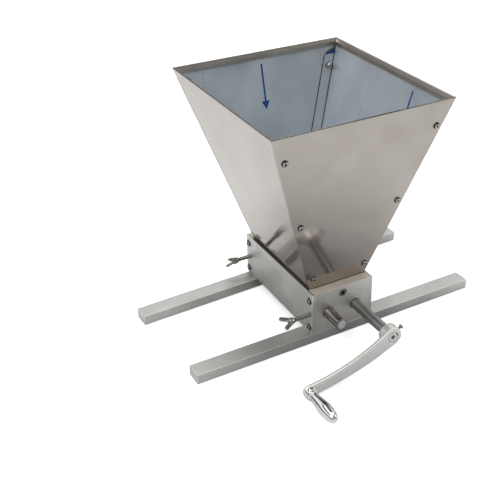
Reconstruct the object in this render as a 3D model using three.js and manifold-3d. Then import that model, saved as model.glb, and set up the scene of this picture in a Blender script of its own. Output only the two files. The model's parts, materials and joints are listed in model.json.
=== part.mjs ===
// Hand-cranked two-roller grain mill: a sheet-metal hopper on a plate-built roller box,
// carried by two flat rails that lie across a bucket or a table.
//
// Frame: millimetres, +Z up, +X along the rails, the crank at the -Y end. All pieces are laid out
// from the centre of the roller box on the ground, then moved so that the origin is the bottom
// centre of the whole object.

import * as THREE from 'three';
import { mergeVertices } from 'three/addons/utils/BufferGeometryUtils.js';
import Module from 'manifold-3d';

const wasm = await Module();
wasm.setup();

// ---------------------------------------------------------------- driving dimensions

const clearance = 0.25;            // air between fixed pieces that meet on a slope or in a hole
const runningGap = 0.05;           // radial air in a bearing
const overlap = 0.05;              // how far joined solids run into each other

// rails
const railLength = 362;
const railWidth = 20;
const railHeight = 12;
const railArm = 125;               // free length of a rail at each end, with faces of its own
const frontRailShift = 1;          // the rails are bolted on a little off centre
const rearRailShift = -7.8;
const rearRailSkew = THREE.MathUtils.degToRad(2);   // and the rear one a little out of square
const rearRailY = 64.7;

// roller box
const boxWidth = 79;
const boxDepth = 155;
const boxHeight = 52;
const sidePlateThickness = 3;
const endPlateThickness = 12;

// rollers and their bearings
const rollerRadius = 17;
const rollerLength = 127;
const axisHeight = 35;
const driveX = 17;
const idlerX = -18.2;              // centre of the eccentric bushes
const eccentricity = 0.8;
const shaftRadius = 6;
const shaftFront = 151.2;          // reach of the drive shaft in front of the box centre
const shaftRear = 76.5;
const flatDepth = 1.2;
const flatStart = 129;
const centreHoleRadius = 2.4;
const centreHoleDepth = 9;
const idlerJournalRadius = 4;
const idlerJournalReach = 72;
const driveBushRadius = 8.5;
const eccentricBushRadius = 10;
const bushSeatDepth = 9;
const stubRadius = 6.5;
const stubReach = 104.6;
const stubChamfer = 1.3;
const lipGap = 0.5;                // air round a shaft where it leaves the outer face

// hopper: sizes of its outside at the bend above the box and at the rim
const sheet = 1;
const hopperBase = { z: 64.3, halfX: 36.2, halfY: 65.2 };
const hopperRim = { z: 276.8, halfX: 106.8, halfY: 111.95 };
const hemDrop = 8;
const flangeWidth = 14;
const flangeTopGap = 11;
const endTabHalfWidth = 34.5;
const endTabDepth = 16;
const sideTabDepth = 12;
const hopperBoltInset = 7.5;
const hopperBoltLevels = [0.14, 0.55, 0.93];   // down the slope from the rim

// crank
const crankReach = 151.4;          // front face of the hub
const crankOffset = 4.2;           // the arm leans out by this much at the handle
const hubRadius = 11.3;
const hubThickness = 12;
const armThickness = 5;
const armEndHalfWidth = 7.2;
const armFlare = 4.3;              // extra half width where the arm leaves the hub
const handleAxis = { x: -89, z: 8 };
const armBend = { x: -28, z: 10.8 };
const edgeChamfer = 0.9;
const setScrewAngle = THREE.MathUtils.degToRad(22);
const setScrew = { thread: 1.5, head: 2.7, neck: 14.2, height: 2.4, chamfer: 0.6 };
const spindleRadius = 3;
const rivet = { radius: 4.4, crown: 3.4, height: 1.9 };
const collarRadius = 6.9;
const collarFront = 160;
const gripFront = 204;
const gripBoreDepth = 36;

// fasteners: thread radius, head radius, head height
const sideScrew = { thread: 2.5, head: 4.25, height: 2.5, length: 13.5 };
const railScrew = { thread: 2, head: 4, height: 2.3, length: 21.5 };
const hopperBolt = { thread: 2, head: 3.7, height: 2.3, length: 8 };
const headGap = 0.1;               // air under the head of a hopper bolt
const hopperNut = { flats: 7, height: 3.2 };
const tabScrew = { thread: 2.5, head: 4.25, height: 5, length: 15.2, counterbore: 5, sunk: 5.4 };
const hexSocket = { radius: 2.3, depth: 2.5 };
const sideScrewHeights = [53.9, 19.2];
const tabScrewHeight = 54.9;
const railScrewX = 14;
const railScrewY = 69.5;
const wingBoltY = 71;
const wingBolt = { thread: 2.5, length: 26.8, hubLength: 6.5, hubRear: 4.3, hubFront: 3.4 };
const wing = { rootRadius: 2.6, tipRadius: 2.6, spread: 6.8, back: 9.2, thickness: 2.2 };
const wingBolts = [
  { name: 'front_wing_bolt', side: -1, hubFace: -59.1, turn: THREE.MathUtils.degToRad(14) },
  { name: 'rear_wing_bolt', side: 1, hubFace: -55.5, turn: THREE.MathUtils.degToRad(117) },
];

// derived levels
const boxBottom = railHeight;
const boxTop = railHeight + boxHeight;
const innerX = boxWidth / 2 - sidePlateThickness;
const innerY = boxDepth / 2 - endPlateThickness;
const idlerZ = axisHeight + eccentricity;

// smoothness
const boltSides = 8;
const bearingSides = 24;
const rollerSides = 40;

// ---------------------------------------------------------------- solids

/** A closed three.js geometry as a manifold solid. */
function solidOf(geometry) {
  const bare = geometry.clone();
  bare.deleteAttribute('normal');
  bare.deleteAttribute('uv');
  const merged = mergeVertices(bare, 1e-4);
  const corners = merged.index.array;
  const kept = [];
  for (let i = 0; i < corners.length; i += 3) {
    const [a, b, c] = [corners[i], corners[i + 1], corners[i + 2]];
    if (a !== b && b !== c && c !== a) kept.push(a, b, c);
  }
  return new wasm.Manifold(new wasm.Mesh({
    numProp: 3,
    vertProperties: new Float32Array(merged.attributes.position.array),
    triVerts: new Uint32Array(kept),
  }));
}

/** A manifold solid as a three.js geometry. */
function geometryOf(solid) {
  const { vertProperties, triVerts } = solid.getMesh();
  const geometry = new THREE.BufferGeometry();
  geometry.setAttribute('position', new THREE.BufferAttribute(new Float32Array(vertProperties), 3));
  geometry.setIndex(new THREE.BufferAttribute(new Uint32Array(triVerts), 1));
  const faceted = geometry.toNonIndexed();
  faceted.computeVertexNormals();
  return faceted;
}

function unite(...solids) {
  return solids.reduce((sum, next) => sum.add(next));
}

function cut(body, ...tools) {
  return tools.reduce((rest, tool) => rest.subtract(tool), body);
}

function block([x0, x1], [y0, y1], [z0, z1]) {
  const geometry = new THREE.BoxGeometry(x1 - x0, y1 - y0, z1 - z0);
  geometry.translate((x0 + x1) / 2, (y0 + y1) / 2, (z0 + z1) / 2);
  return solidOf(geometry);
}

/** Turns a geometry made along three.js's +Y so that it runs along X, Y or Z. */
function aimAlong(geometry, axis) {
  if (axis === 'x') geometry.rotateZ(-Math.PI / 2);
  if (axis === 'z') geometry.rotateX(Math.PI / 2);
  return geometry;
}

/** A round bar from one coordinate to another on an axis through `at`. */
function bar(radius, [from, to], axis, at = [0, 0, 0], sides = bearingSides) {
  const geometry = aimAlong(new THREE.CylinderGeometry(radius, radius, to - from, sides), axis);
  const middle = { x: [(from + to) / 2, 0, 0], y: [0, (from + to) / 2, 0], z: [0, 0, (from + to) / 2] };
  const shift = middle[axis].map((value, i) => value + at[i]);
  geometry.translate(...shift);
  return solidOf(geometry);
}

/** The radius of a hole whose flats clear a bar of the given radius by a gap. */
function holeRadius(radius, gap = clearance, sides = bearingSides) {
  return (radius + gap) / Math.cos(Math.PI / sides);
}

/** A turned piece: profile points are [radius, distance along the axis]. */
function turned(profile, axis = 'y', sides = bearingSides) {
  const points = profile.map(([radius, along]) => new THREE.Vector2(radius, along));
  return solidOf(aimAlong(new THREE.LatheGeometry(points, sides), axis));
}

/** A block between two heights whose X and Y spans change evenly with height. */
function slopedBlock([low, high], spanX, spanY) {
  const corners = [];
  for (const z of [low, high]) {
    const [x0, x1] = spanX(z);
    const [y0, y1] = spanY(z);
    corners.push([x0, y0, z], [x1, y0, z], [x1, y1, z], [x0, y1, z]);
  }
  const faces = [[3, 2, 1, 0], [4, 5, 6, 7], [0, 1, 5, 4], [1, 2, 6, 5], [2, 3, 7, 6], [3, 0, 4, 7]];
  return solidOf(quadMesh(corners, faces));
}

/** Geometry from corner points and four-cornered faces, seen anticlockwise from outside. */
function quadMesh(corners, faces) {
  const geometry = new THREE.BufferGeometry();
  geometry.setAttribute('position', new THREE.Float32BufferAttribute(corners.flat(), 3));
  geometry.setIndex(faces.flatMap(([a, b, c, d]) => [a, b, c, a, c, d]));
  return geometry;
}

/** Outline of two unequal circles joined by their outer tangents, in the shape's own plane. */
function taperedLink(start, startRadius, end, endRadius) {
  const heading = Math.atan2(end.y - start.y, end.x - start.x);
  const lean = Math.acos((startRadius - endRadius) / start.distanceTo(end));
  const outline = new THREE.Shape();
  outline.absarc(end.x, end.y, endRadius, heading - lean, heading + lean, false);
  outline.absarc(start.x, start.y, startRadius, heading + lean, heading - lean + 2 * Math.PI, false);
  return outline;
}

// ---------------------------------------------------------------- finishes

const finishes = {
  rail: { color: 0xb9b8b4, metalness: 0.9, roughness: 0.45 },
  plate: { color: 0xa6a5a1, metalness: 0.9, roughness: 0.55 },
  hopper: { color: 0xb0aaa2, metalness: 0.95, roughness: 0.35 },
  ground: { color: 0xc9c6c0, metalness: 1, roughness: 0.15 },
  stub: { color: 0x6d6563, metalness: 0.9, roughness: 0.4 },
  roller: { color: 0x8f9092, metalness: 0.95, roughness: 0.4 },
  bronze: { color: 0xa97f4a, metalness: 0.9, roughness: 0.4 },
  crank: { color: 0xa9abad, metalness: 0.9, roughness: 0.4 },
  chrome: { color: 0xdfe2e4, metalness: 1, roughness: 0.05 },
  fastener: { color: 0xbcbab5, metalness: 0.95, roughness: 0.3 },
};

function piece(name, finish, solid) {
  const mesh = new THREE.Mesh(geometryOf(solid), new THREE.MeshStandardMaterial(finishes[finish]));
  mesh.name = name;
  return mesh;
}

// ---------------------------------------------------------------- rails

/** The two rails as they lie: centre, turn about +Z and the box-frame X of their two screws. */
const rails = [
  { name: 'front', shift: frontRailShift, centreY: -(boxDepth - railWidth) / 2, skew: 0, screwY: -railScrewY },
  { name: 'rear', shift: rearRailShift, centreY: rearRailY, skew: rearRailSkew, screwY: railScrewY },
];

/** Where a rail's screws stand, in the rail's own turned frame. */
function railScrewSpots(rail) {
  return [-railScrewX, railScrewX].map((x) => {
    const spot = new THREE.Vector2(x - rail.shift, rail.screwY - rail.centreY);
    return spot.rotateAround(new THREE.Vector2(0, 0), -rail.skew);
  });
}

function railSolid(rail) {
  const lengths = [-railLength / 2, railArm - railLength / 2, railLength / 2 - railArm, railLength / 2];
  const body = unite(...[0, 1, 2].map((i) => block([lengths[i], lengths[i + 1]],
    [-railWidth / 2, railWidth / 2], [0, railHeight])));
  const holes = railScrewSpots(rail).map(({ x, y }) => unite(
    bar(holeRadius(railScrew.thread, clearance, boltSides), [-1, railHeight + 1], 'z', [x, y, 0], boltSides),
    countersink(clearance).translate(x, y, 0),
  ));
  return cut(body, ...holes);
}

/** The cone under a countersunk head, from just below the surface up to the thread. */
function countersink(gap) {
  const { thread, head, height } = railScrew;
  const profile = [[0, -1], [head + gap + 1, -1], [thread + gap, height + 1 + gap], [0, height + 1 + gap]];
  return turned(profile, 'z', boltSides);
}

function railScrewSolid() {
  const { thread, head, height, length } = railScrew;
  const top = 0.4;
  return turned([[0, top], [head, top], [thread, top + height], [thread, length - 1],
    [thread - 0.7, length], [0, length]], 'z', boltSides);
}

function railGroup(rail) {
  const group = new THREE.Group();
  group.position.set(rail.shift, rail.centreY, 0);
  group.rotation.z = rail.skew;
  group.add(piece(`${rail.name}_rail`, 'rail', railSolid(rail)));
  railScrewSpots(rail).forEach(({ x, y }, i) => {
    const screw = piece(`${rail.name}_rail_screw_${i + 1}`, 'fastener', railScrewSolid());
    screw.position.set(x, y, 0);
    group.add(screw);
  });
  return group;
}

// ---------------------------------------------------------------- roller box

/** An end plate at the front (side -1) or the rear (side 1), bored for both shafts. */
function endPlateSolid(side) {
  const outer = side * boxDepth / 2;
  const inner = side * innerY;
  const span = (a, b) => (a < b ? [a, b] : [b, a]);
  const seat = span(inner - side, inner + side * bushSeatDepth);
  const through = span(inner - side, outer + side);
  const plate = block([-innerX, innerX], span(inner, outer), [boxBottom, boxTop]);

  const bearings = [
    bar(holeRadius(driveBushRadius, 0.02), seat, 'y', [driveX, 0, axisHeight]),
    bar(holeRadius(shaftRadius, lipGap), through, 'y', [driveX, 0, axisHeight]),
    bar(holeRadius(eccentricBushRadius, runningGap), seat, 'y', [idlerX, 0, axisHeight]),
    bar(holeRadius(stubRadius, lipGap), through, 'y', [idlerX, 0, axisHeight]),
  ];
  const sideHoles = [-1, 1].flatMap((face) => sideScrewHeights.map((z) => {
    const deep = innerX + sidePlateThickness - sideScrew.length - 0.5;
    const hole = span(face * deep, face * (innerX + 1));
    const radius = holeRadius(sideScrew.thread, clearance, boltSides);
    return bar(radius, hole, 'x', [0, side * (boxDepth - endPlateThickness) / 2, z], boltSides);
  }));
  const wingHole = bar(holeRadius(wingBolt.thread, 0.1, boltSides), [-innerX - 1, idlerX], 'x',
    [0, side * wingBoltY, axisHeight], boltSides);
  const railHoles = [-railScrewX, railScrewX].map((x) => bar(
    holeRadius(railScrew.thread, clearance, boltSides), [boxBottom - 1, railScrew.length + 0.5], 'z',
    [x, side * railScrewY, 0], boltSides));
  const tabHoles = [
    bar(holeRadius(tabScrew.thread, clearance, boltSides), through, 'y', [0, 0, tabScrewHeight], boltSides),
    bar(tabScrew.counterbore, span(outer - side * (tabScrew.sunk + clearance), outer + side), 'y',
      [0, 0, tabScrewHeight], 2 * boltSides),
  ];
  return cut(plate, ...bearings, ...sideHoles, wingHole, ...railHoles, ...tabHoles);
}

/** The side plate at -X (side -1) or +X (side 1); only the -X one passes the wing bolts. */
function sidePlateSolid(side) {
  const span = side < 0 ? [-boxWidth / 2, -innerX] : [innerX, boxWidth / 2];
  const through = [span[0] - 1, span[1] + 1];
  const screwY = (boxDepth - endPlateThickness) / 2;
  const holes = [-screwY, screwY].flatMap((y) => sideScrewHeights.map((z) => bar(
    holeRadius(sideScrew.thread, clearance, boltSides), through, 'x', [0, y, z], boltSides)));
  if (side < 0) {
    for (const y of [-wingBoltY, wingBoltY]) {
      holes.push(bar(holeRadius(wingBolt.thread, 0.1, boltSides), through, 'x', [0, y, axisHeight], boltSides));
    }
  }
  return cut(block(span, [-boxDepth / 2, boxDepth / 2], [boxBottom, boxTop]), ...holes);
}

/** A domed screw lying along +X: the head's seat is at 0 and the thread runs to negative X. */
function domedScrewSolid({ thread, head, height, length }) {
  const steps = [0.25, 0.5, 0.75].map((part) => part * Math.PI / 2);
  const dome = steps.map((angle) => [head * Math.cos(angle), height * (0.25 + 0.75 * Math.sin(angle))]);
  return turned([[0, -length], [thread - 0.6, -length], [thread, -length + 1], [thread, 0], [head, 0],
    [head, height * 0.25], ...dome, [0, height]], 'x', boltSides);
}

function sideScrews() {
  const screws = [];
  for (const [face, side] of [['left', -1], ['right', 1]]) {
    for (const [end, y] of [['front', -1], ['rear', 1]]) {
      sideScrewHeights.forEach((z, i) => {
        const level = i === 0 ? 'upper' : 'lower';
        const screw = piece(`${face}_${end}_${level}_screw`, 'fastener', domedScrewSolid(sideScrew));
        screw.position.set(side * boxWidth / 2, y * (boxDepth - endPlateThickness) / 2, z);
        if (side < 0) screw.rotation.z = Math.PI;
        screws.push(screw);
      });
    }
  }
  return screws;
}

/** The socket-head screw that holds a hopper tab to an end plate, laid along -Y for the front. */
function tabScrewSolid() {
  const { thread, head, height, length, sunk } = tabScrew;
  const face = boxDepth / 2 - sunk + height;
  const seat = face - height;
  const tip = face - height - length;
  const body = turned([[0, tip], [thread - 0.6, tip], [thread, tip + 1], [thread, seat], [head, seat],
    [head, face - 0.4], [head - 0.4, face], [0, face]], 'y', 2 * boltSides);
  return cut(body, bar(hexSocket.radius, [face - hexSocket.depth, face + 1], 'y', [0, 0, 0], 6));
}

function tabScrews() {
  return [['front', -1], ['rear', 1]].map(([end, side]) => {
    const screw = piece(`${end}_hopper_screw`, 'fastener', tabScrewSolid());
    screw.position.set(0, 0, tabScrewHeight);
    if (side < 0) screw.rotation.z = Math.PI;
    return screw;
  });
}

// ---------------------------------------------------------------- bushes and rollers

/** The plain bush of the drive shaft in its seat on the inside of an end plate. */
function driveBushSolid(side) {
  const ends = [side * (innerY + clearance), side * (innerY + bushSeatDepth - clearance)].sort((a, b) => a - b);
  const bore = [ends[0] - 1, ends[1] + 1];
  return cut(bar(driveBushRadius, ends, 'y', [driveX, 0, axisHeight]),
    bar(holeRadius(shaftRadius, runningGap), bore, 'y', [driveX, 0, axisHeight]));
}

/** An eccentric bush: round in its seat, with an off-centre bore and a long stub to turn it by. */
function eccentricBushSolid(side) {
  const near = innerY + clearance;
  const far = innerY + bushSeatDepth - clearance;
  const bush = turned([[0, near], [eccentricBushRadius, near], [eccentricBushRadius, far], [stubRadius, far],
    [stubRadius, stubReach - stubChamfer], [stubRadius - stubChamfer, stubReach], [0, stubReach]]);
  const bore = bar(holeRadius(idlerJournalRadius, runningGap), [near - 1, idlerJournalReach + 0.6], 'y',
    [0, 0, eccentricity]);
  const made = bush.subtract(bore);
  return (side < 0 ? made.mirror([0, 1, 0]) : made).translate(idlerX, 0, axisHeight);
}

function driveRollerSolid() {
  const half = rollerLength / 2;
  const chamfer = 0.8;
  const turnedBody = turned([[0, -shaftFront], [shaftRadius - chamfer, -shaftFront],
    [shaftRadius, -shaftFront + chamfer], [shaftRadius, -half], [rollerRadius - chamfer, -half],
    [rollerRadius, -half + chamfer], [rollerRadius, half - chamfer], [rollerRadius - chamfer, half],
    [shaftRadius, half], [shaftRadius, shaftRear - chamfer], [shaftRadius - chamfer, shaftRear],
    [0, shaftRear]], 'y', rollerSides);
  const flat = block([shaftRadius - flatDepth, shaftRadius + 1], [-shaftFront - 1, -flatStart],
    [-shaftRadius - 1, shaftRadius + 1]).rotate([0, -THREE.MathUtils.radToDeg(setScrewAngle), 0]);
  const centreHole = bar(centreHoleRadius, [-shaftFront - 1, -shaftFront + centreHoleDepth], 'y');
  return cut(turnedBody, flat, centreHole).translate(driveX, 0, axisHeight);
}

function idlerRollerSolid() {
  const half = rollerLength / 2;
  const chamfer = 0.8;
  return turned([[0, -idlerJournalReach], [idlerJournalRadius, -idlerJournalReach],
    [idlerJournalRadius, -half], [rollerRadius - chamfer, -half], [rollerRadius, -half + chamfer],
    [rollerRadius, half - chamfer], [rollerRadius - chamfer, half], [idlerJournalRadius, half],
    [idlerJournalRadius, idlerJournalReach], [0, idlerJournalReach]], 'y', rollerSides)
    .translate(idlerX, 0, idlerZ);
}

// ---------------------------------------------------------------- wing bolts

/** A wing bolt along X, its hub's inner face at 0, the thread towards +X and the wings towards -X. */
function wingBoltSolid() {
  const { thread, length, hubLength, hubRear, hubFront } = wingBolt;
  const shank = turned([[0, -hubLength], [hubRear - 0.8, -hubLength], [hubRear, -hubLength + 0.8],
    [hubFront, 0], [thread, 0], [thread, length - 1], [thread - 0.8, length], [0, length]], 'x', 2 * boltSides);
  const root = new THREE.Vector2(-hubLength / 2, 1.6);
  const tip = new THREE.Vector2(-hubLength / 2 - wing.back, wing.spread);
  const outline = taperedLink(root, wing.rootRadius, tip, wing.tipRadius);
  const blade = new THREE.ExtrudeGeometry(outline, { depth: wing.thickness, bevelEnabled: false, curveSegments: 6 });
  blade.translate(0, 0, -wing.thickness / 2);
  const one = solidOf(blade);
  return unite(shank, one, one.mirror([0, 1, 0]));
}

function wingBoltPieces() {
  return wingBolts.map(({ name, side, hubFace, turn }) => {
    const bolt = piece(name, 'fastener', wingBoltSolid());
    bolt.position.set(hubFace, side * wingBoltY, axisHeight);
    bolt.rotation.x = turn;
    return bolt;
  });
}

// ---------------------------------------------------------------- hopper

const slopeX = (hopperRim.halfX - hopperBase.halfX) / (hopperRim.z - hopperBase.z);
const slopeY = (hopperRim.halfY - hopperBase.halfY) / (hopperRim.z - hopperBase.z);
const halfX = (z) => hopperBase.halfX + slopeX * (z - hopperBase.z);
const halfY = (z) => hopperBase.halfY + slopeY * (z - hopperBase.z);
const wallX = sheet * Math.hypot(1, slopeX);   // level thickness of the sloping side panels
const wallY = sheet * Math.hypot(1, slopeY);   // and of the front and rear panels
const leanY = Math.atan(slopeY);               // lean of the front and rear panels
const seamCos = Math.cos(Math.atan(slopeX / Math.hypot(1, slopeY)));   // slant of their long edges

/** A point on the outside of the front panel: its height and X for one corner bolt. */
function boltSpot(level, side) {
  const z = hopperRim.z - level * (hopperRim.z - hopperBase.z);
  return { x: side * (halfX(z) - hopperBoltInset / seamCos), y: -halfY(z), z };
}

/** The holes through both sheets of one corner of the front, square to the front panel. */
function boltHoles(side) {
  return hopperBoltLevels.map((level) => {
    const { x, y, z } = boltSpot(level, side);
    const hole = bar(holeRadius(hopperBolt.thread, clearance, boltSides), [-3, 6], 'y', [0, 0, 0], boltSides);
    return hole.rotate([THREE.MathUtils.radToDeg(leanY), 0, 0]).translate(x, y, z);
  });
}

/** The front panel: sloping wall, hem folded inwards at the rim, tab down inside the end plate. */
function frontPanelSolid() {
  const wall = slopedBlock([hopperBase.z, hopperRim.z], (z) => [-halfX(z), halfX(z)],
    (z) => [-halfY(z), -halfY(z) + wallY]);
  const hemEnd = (z) => halfX(z) - 2 * wallX - clearance;
  const hem = slopedBlock([hopperRim.z - hemDrop, hopperRim.z], (z) => [-hemEnd(z), hemEnd(z)],
    (z) => [-halfY(z) + wallY - overlap, -halfY(z) + 2 * wallY]);
  const tab = block([-endTabHalfWidth, endTabHalfWidth], [-hopperBase.halfY, -hopperBase.halfY + wallY],
    [hopperBase.z - endTabDepth, hopperBase.z + overlap]);
  const screwHole = bar(holeRadius(tabScrew.thread, clearance, boltSides), [-innerY - 1, -innerY + 3], 'y',
    [0, 0, tabScrewHeight], boltSides);
  return cut(unite(wall, hem, tab), screwHole, ...boltHoles(-1), ...boltHoles(1));
}

/** The left panel: wall, hem, tab, and the two flanges bolted behind the front and rear panels. */
function leftPanelSolid() {
  const frontFace = (z) => -halfY(z) + wallY + clearance;
  const wall = slopedBlock([hopperBase.z, hopperRim.z], (z) => [-halfX(z), -halfX(z) + wallX],
    (z) => [frontFace(z), -frontFace(z)]);
  const hem = slopedBlock([hopperRim.z - hemDrop, hopperRim.z],
    (z) => [-halfX(z) + wallX - overlap, -halfX(z) + 2 * wallX],
    (z) => [frontFace(z) + wallY, -frontFace(z) - wallY]);
  const tab = block([-hopperBase.halfX, -hopperBase.halfX + wallX],
    [-hopperBase.halfY + wallY + clearance, hopperBase.halfY - wallY - clearance],
    [hopperBase.z - sideTabDepth, hopperBase.z + overlap]);
  const flange = slopedBlock([hopperBase.z, hopperRim.z - flangeTopGap],
    (z) => [-halfX(z), -halfX(z) + flangeWidth / seamCos], (z) => [frontFace(z), frontFace(z) + wallY]);
  const front = cut(flange, ...boltHoles(-1));
  return unite(wall, hem, tab, front, front.mirror([0, 1, 0]));
}

function hopperPanels() {
  const front = frontPanelSolid();
  const left = leftPanelSolid();
  return [
    piece('hopper_front_panel', 'hopper', front),
    piece('hopper_rear_panel', 'hopper', front.mirror([0, 1, 0])),
    piece('hopper_left_panel', 'hopper', left),
    piece('hopper_right_panel', 'hopper', left.mirror([1, 0, 0])),
  ];
}

/** A corner bolt along +Y from outside the front panel: head below 0, thread through the sheets. */
function hopperBoltSolid() {
  const { thread, head, height, length } = hopperBolt;
  return turned([[0, -height], [head * 0.55, -height], [head * 0.88, -height * 0.72], [head, -height * 0.3],
    [head, -headGap], [thread, -headGap], [thread, length - 0.6], [thread - 0.5, length], [0, length]], 'y', boltSides);
}

function hopperNutSolid() {
  const start = 2 * sheet + 2 * clearance;
  const nut = bar(hopperNut.flats / Math.sqrt(3), [start, start + hopperNut.height], 'y', [0, 0, 0], 6);
  const bore = bar(holeRadius(hopperBolt.thread, 0.1, boltSides), [start - 1, start + hopperNut.height + 1],
    'y', [0, 0, 0], boltSides);
  return nut.subtract(bore);
}

/** The bolt and nut of every hopper corner, each pair in a group square to its panel. */
function hopperFasteners() {
  const groups = [];
  for (const [end, turnZ] of [['front', 0], ['rear', Math.PI]]) {
    for (const [face, side] of [['left', -1], ['right', 1]]) {
      hopperBoltLevels.forEach((level, i) => {
        const { x, y, z } = boltSpot(level, end === 'front' ? side : -side);
        const seat = new THREE.Group();
        seat.position.set(x, y, z);
        seat.rotation.x = leanY;
        seat.add(piece(`hopper_bolt_${end}_${face}_${i + 1}`, 'fastener', hopperBoltSolid()));
        seat.add(piece(`hopper_nut_${end}_${face}_${i + 1}`, 'fastener', hopperNutSolid()));
        const corner = new THREE.Group();
        corner.rotation.z = turnZ;
        corner.add(seat);
        groups.push(corner);
      });
    }
  }
  return groups;
}

// ---------------------------------------------------------------- crank

/** How far in front of the box centre the arm's face lies, at X. */
function armReach(x) {
  const along = THREE.MathUtils.clamp((driveX - x) / (driveX - handleAxis.x - collarRadius), 0, 1);
  return crankReach + crankOffset * along;
}

/** The curved arm as a bar of chamfered section that narrows and leans out towards the handle. */
function armBarSolid() {
  const centreline = new THREE.QuadraticBezierCurve(new THREE.Vector2(driveX, axisHeight),
    new THREE.Vector2(armBend.x, armBend.z), new THREE.Vector2(handleAxis.x, handleAxis.z));
  const stations = 16;
  const chamfer = edgeChamfer;
  const corners = [];
  for (let i = 0; i <= stations; i += 1) {
    const t = i / stations;
    const centre = centreline.getPoint(t);
    const along = centreline.getTangent(t);
    const half = armEndHalfWidth + armFlare * (1 - t) ** 2;
    const section = [[-half, chamfer], [-half + chamfer, 0], [half - chamfer, 0], [half, chamfer],
      [half, armThickness - chamfer], [half - chamfer, armThickness], [-half + chamfer, armThickness],
      [-half, armThickness - chamfer]];
    for (const [across, back] of section) {
      const x = centre.x - along.y * across;
      const z = centre.y + along.x * across;
      corners.push([x, -armReach(centre.x) + back, z]);
    }
  }
  const faces = [];
  for (let i = 0; i < stations; i += 1) {
    for (let k = 0; k < 8; k += 1) {
      const next = (k + 1) % 8;
      faces.push([8 * i + k, 8 * (i + 1) + k, 8 * (i + 1) + next, 8 * i + next]);
    }
  }
  const far = 8 * stations;
  for (const k of [1, 3, 5]) {
    faces.push([0, k, k + 1, k + 2]);
    faces.push([far, far + k + 2, far + k + 1, far + k]);
  }
  return solidOf(quadMesh(corners, faces));
}

function crankArmSolid() {
  const hubBack = -crankReach + hubThickness;
  const chamfer = edgeChamfer;
  const hub = turned([[0, -crankReach], [hubRadius - chamfer, -crankReach], [hubRadius, -crankReach + chamfer],
    [hubRadius, hubBack - chamfer], [hubRadius - chamfer, hubBack], [0, hubBack]])
    .translate(driveX, 0, axisHeight);
  const endFace = -crankReach - crankOffset;
  const end = turned([[0, endFace], [armEndHalfWidth - chamfer, endFace], [armEndHalfWidth, endFace + chamfer],
    [armEndHalfWidth, endFace + armThickness - chamfer], [armEndHalfWidth - chamfer, endFace + armThickness],
    [0, endFace + armThickness]]).translate(handleAxis.x, 0, handleAxis.z);
  const shaftBore = bar(holeRadius(shaftRadius, 0.1), [-crankReach - 1, hubBack + 1], 'y',
    [driveX, 0, axisHeight]);
  const spindleBore = bar(holeRadius(spindleRadius, 0.1), [endFace - 1, endFace + armThickness + 1], 'y',
    [handleAxis.x, 0, handleAxis.z]);
  const screwBore = bar(holeRadius(setScrew.thread, 0.1, boltSides), [0, hubRadius + 2], 'x', [0, 0, 0], boltSides)
    .rotate([0, -THREE.MathUtils.radToDeg(setScrewAngle), 0])
    .translate(driveX, -crankReach + hubThickness / 2, axisHeight);
  return cut(unite(armBarSolid(), hub, end), shaftBore, spindleBore, screwBore);
}

/** The small screw that presses on the shaft's flat, out along +X from the shaft's axis. */
function setScrewSolid() {
  const { thread, head, neck, height, chamfer } = setScrew;
  const tip = shaftRadius - flatDepth + clearance;
  const top = neck + height;
  return turned([[0, tip], [thread, tip], [thread, neck], [head, neck], [head, top - chamfer],
    [head - chamfer, top], [0, top]], 'x', boltSides);
}

/** The handle's fixed spindle: riveted behind the arm, with a collar in front of it. */
function spindleSolid() {
  const face = crankReach + crankOffset;
  const rear = face - armThickness;
  const tip = collarFront + clearance + gripBoreDepth - 1;
  const profile = [[0, -tip], [spindleRadius, -tip], [spindleRadius, -collarFront],
    [collarRadius - 0.6, -collarFront], [collarRadius, -collarFront + 0.6], [collarRadius, -face - clearance],
    [spindleRadius, -face - clearance], [spindleRadius, -rear + clearance],
    [rivet.radius, -rear + clearance], [rivet.crown, -rear + rivet.height], [0, -rear + rivet.height]];
  return turned(profile, 'y', bearingSides);
}

/** The turning grip: a slim neck that swells to a rounded nose, bored blind for the spindle. */
function gripSolid() {
  const back = collarFront + clearance;
  const bore = holeRadius(spindleRadius, runningGap, bearingSides);
  const outline = [[0, gripFront], [2.4, gripFront - 0.6], [4.2, gripFront - 2.6], [5.4, gripFront - 5.6],
    [6.5, gripFront - 11], [7.2, gripFront - 18], [7.2, gripFront - 24], [6.6, gripFront - 31],
    [5.8, gripFront - 37.5], [5.8, gripFront - 41], [5.5, back]];
  const hollow = [[bore, back], [bore, back + gripBoreDepth], [0, back + gripBoreDepth]];
  const profile = [...outline, ...hollow].map(([radius, reach]) => [radius, -reach]);
  return turned(profile, 'y', bearingSides);
}

function crankPieces() {
  const arm = piece('crank_arm', 'crank', crankArmSolid());
  const hubScrew = piece('crank_set_screw', 'fastener', setScrewSolid());
  hubScrew.position.set(driveX, -crankReach + hubThickness / 2, axisHeight);
  hubScrew.rotation.y = -setScrewAngle;
  const spindle = piece('handle_spindle', 'chrome', spindleSolid());
  const grip = piece('handle_grip', 'chrome', gripSolid());
  for (const part of [spindle, grip]) part.position.set(handleAxis.x, 0, handleAxis.z);
  return [arm, hubScrew, spindle, grip];
}

// ---------------------------------------------------------------- assembly

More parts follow.
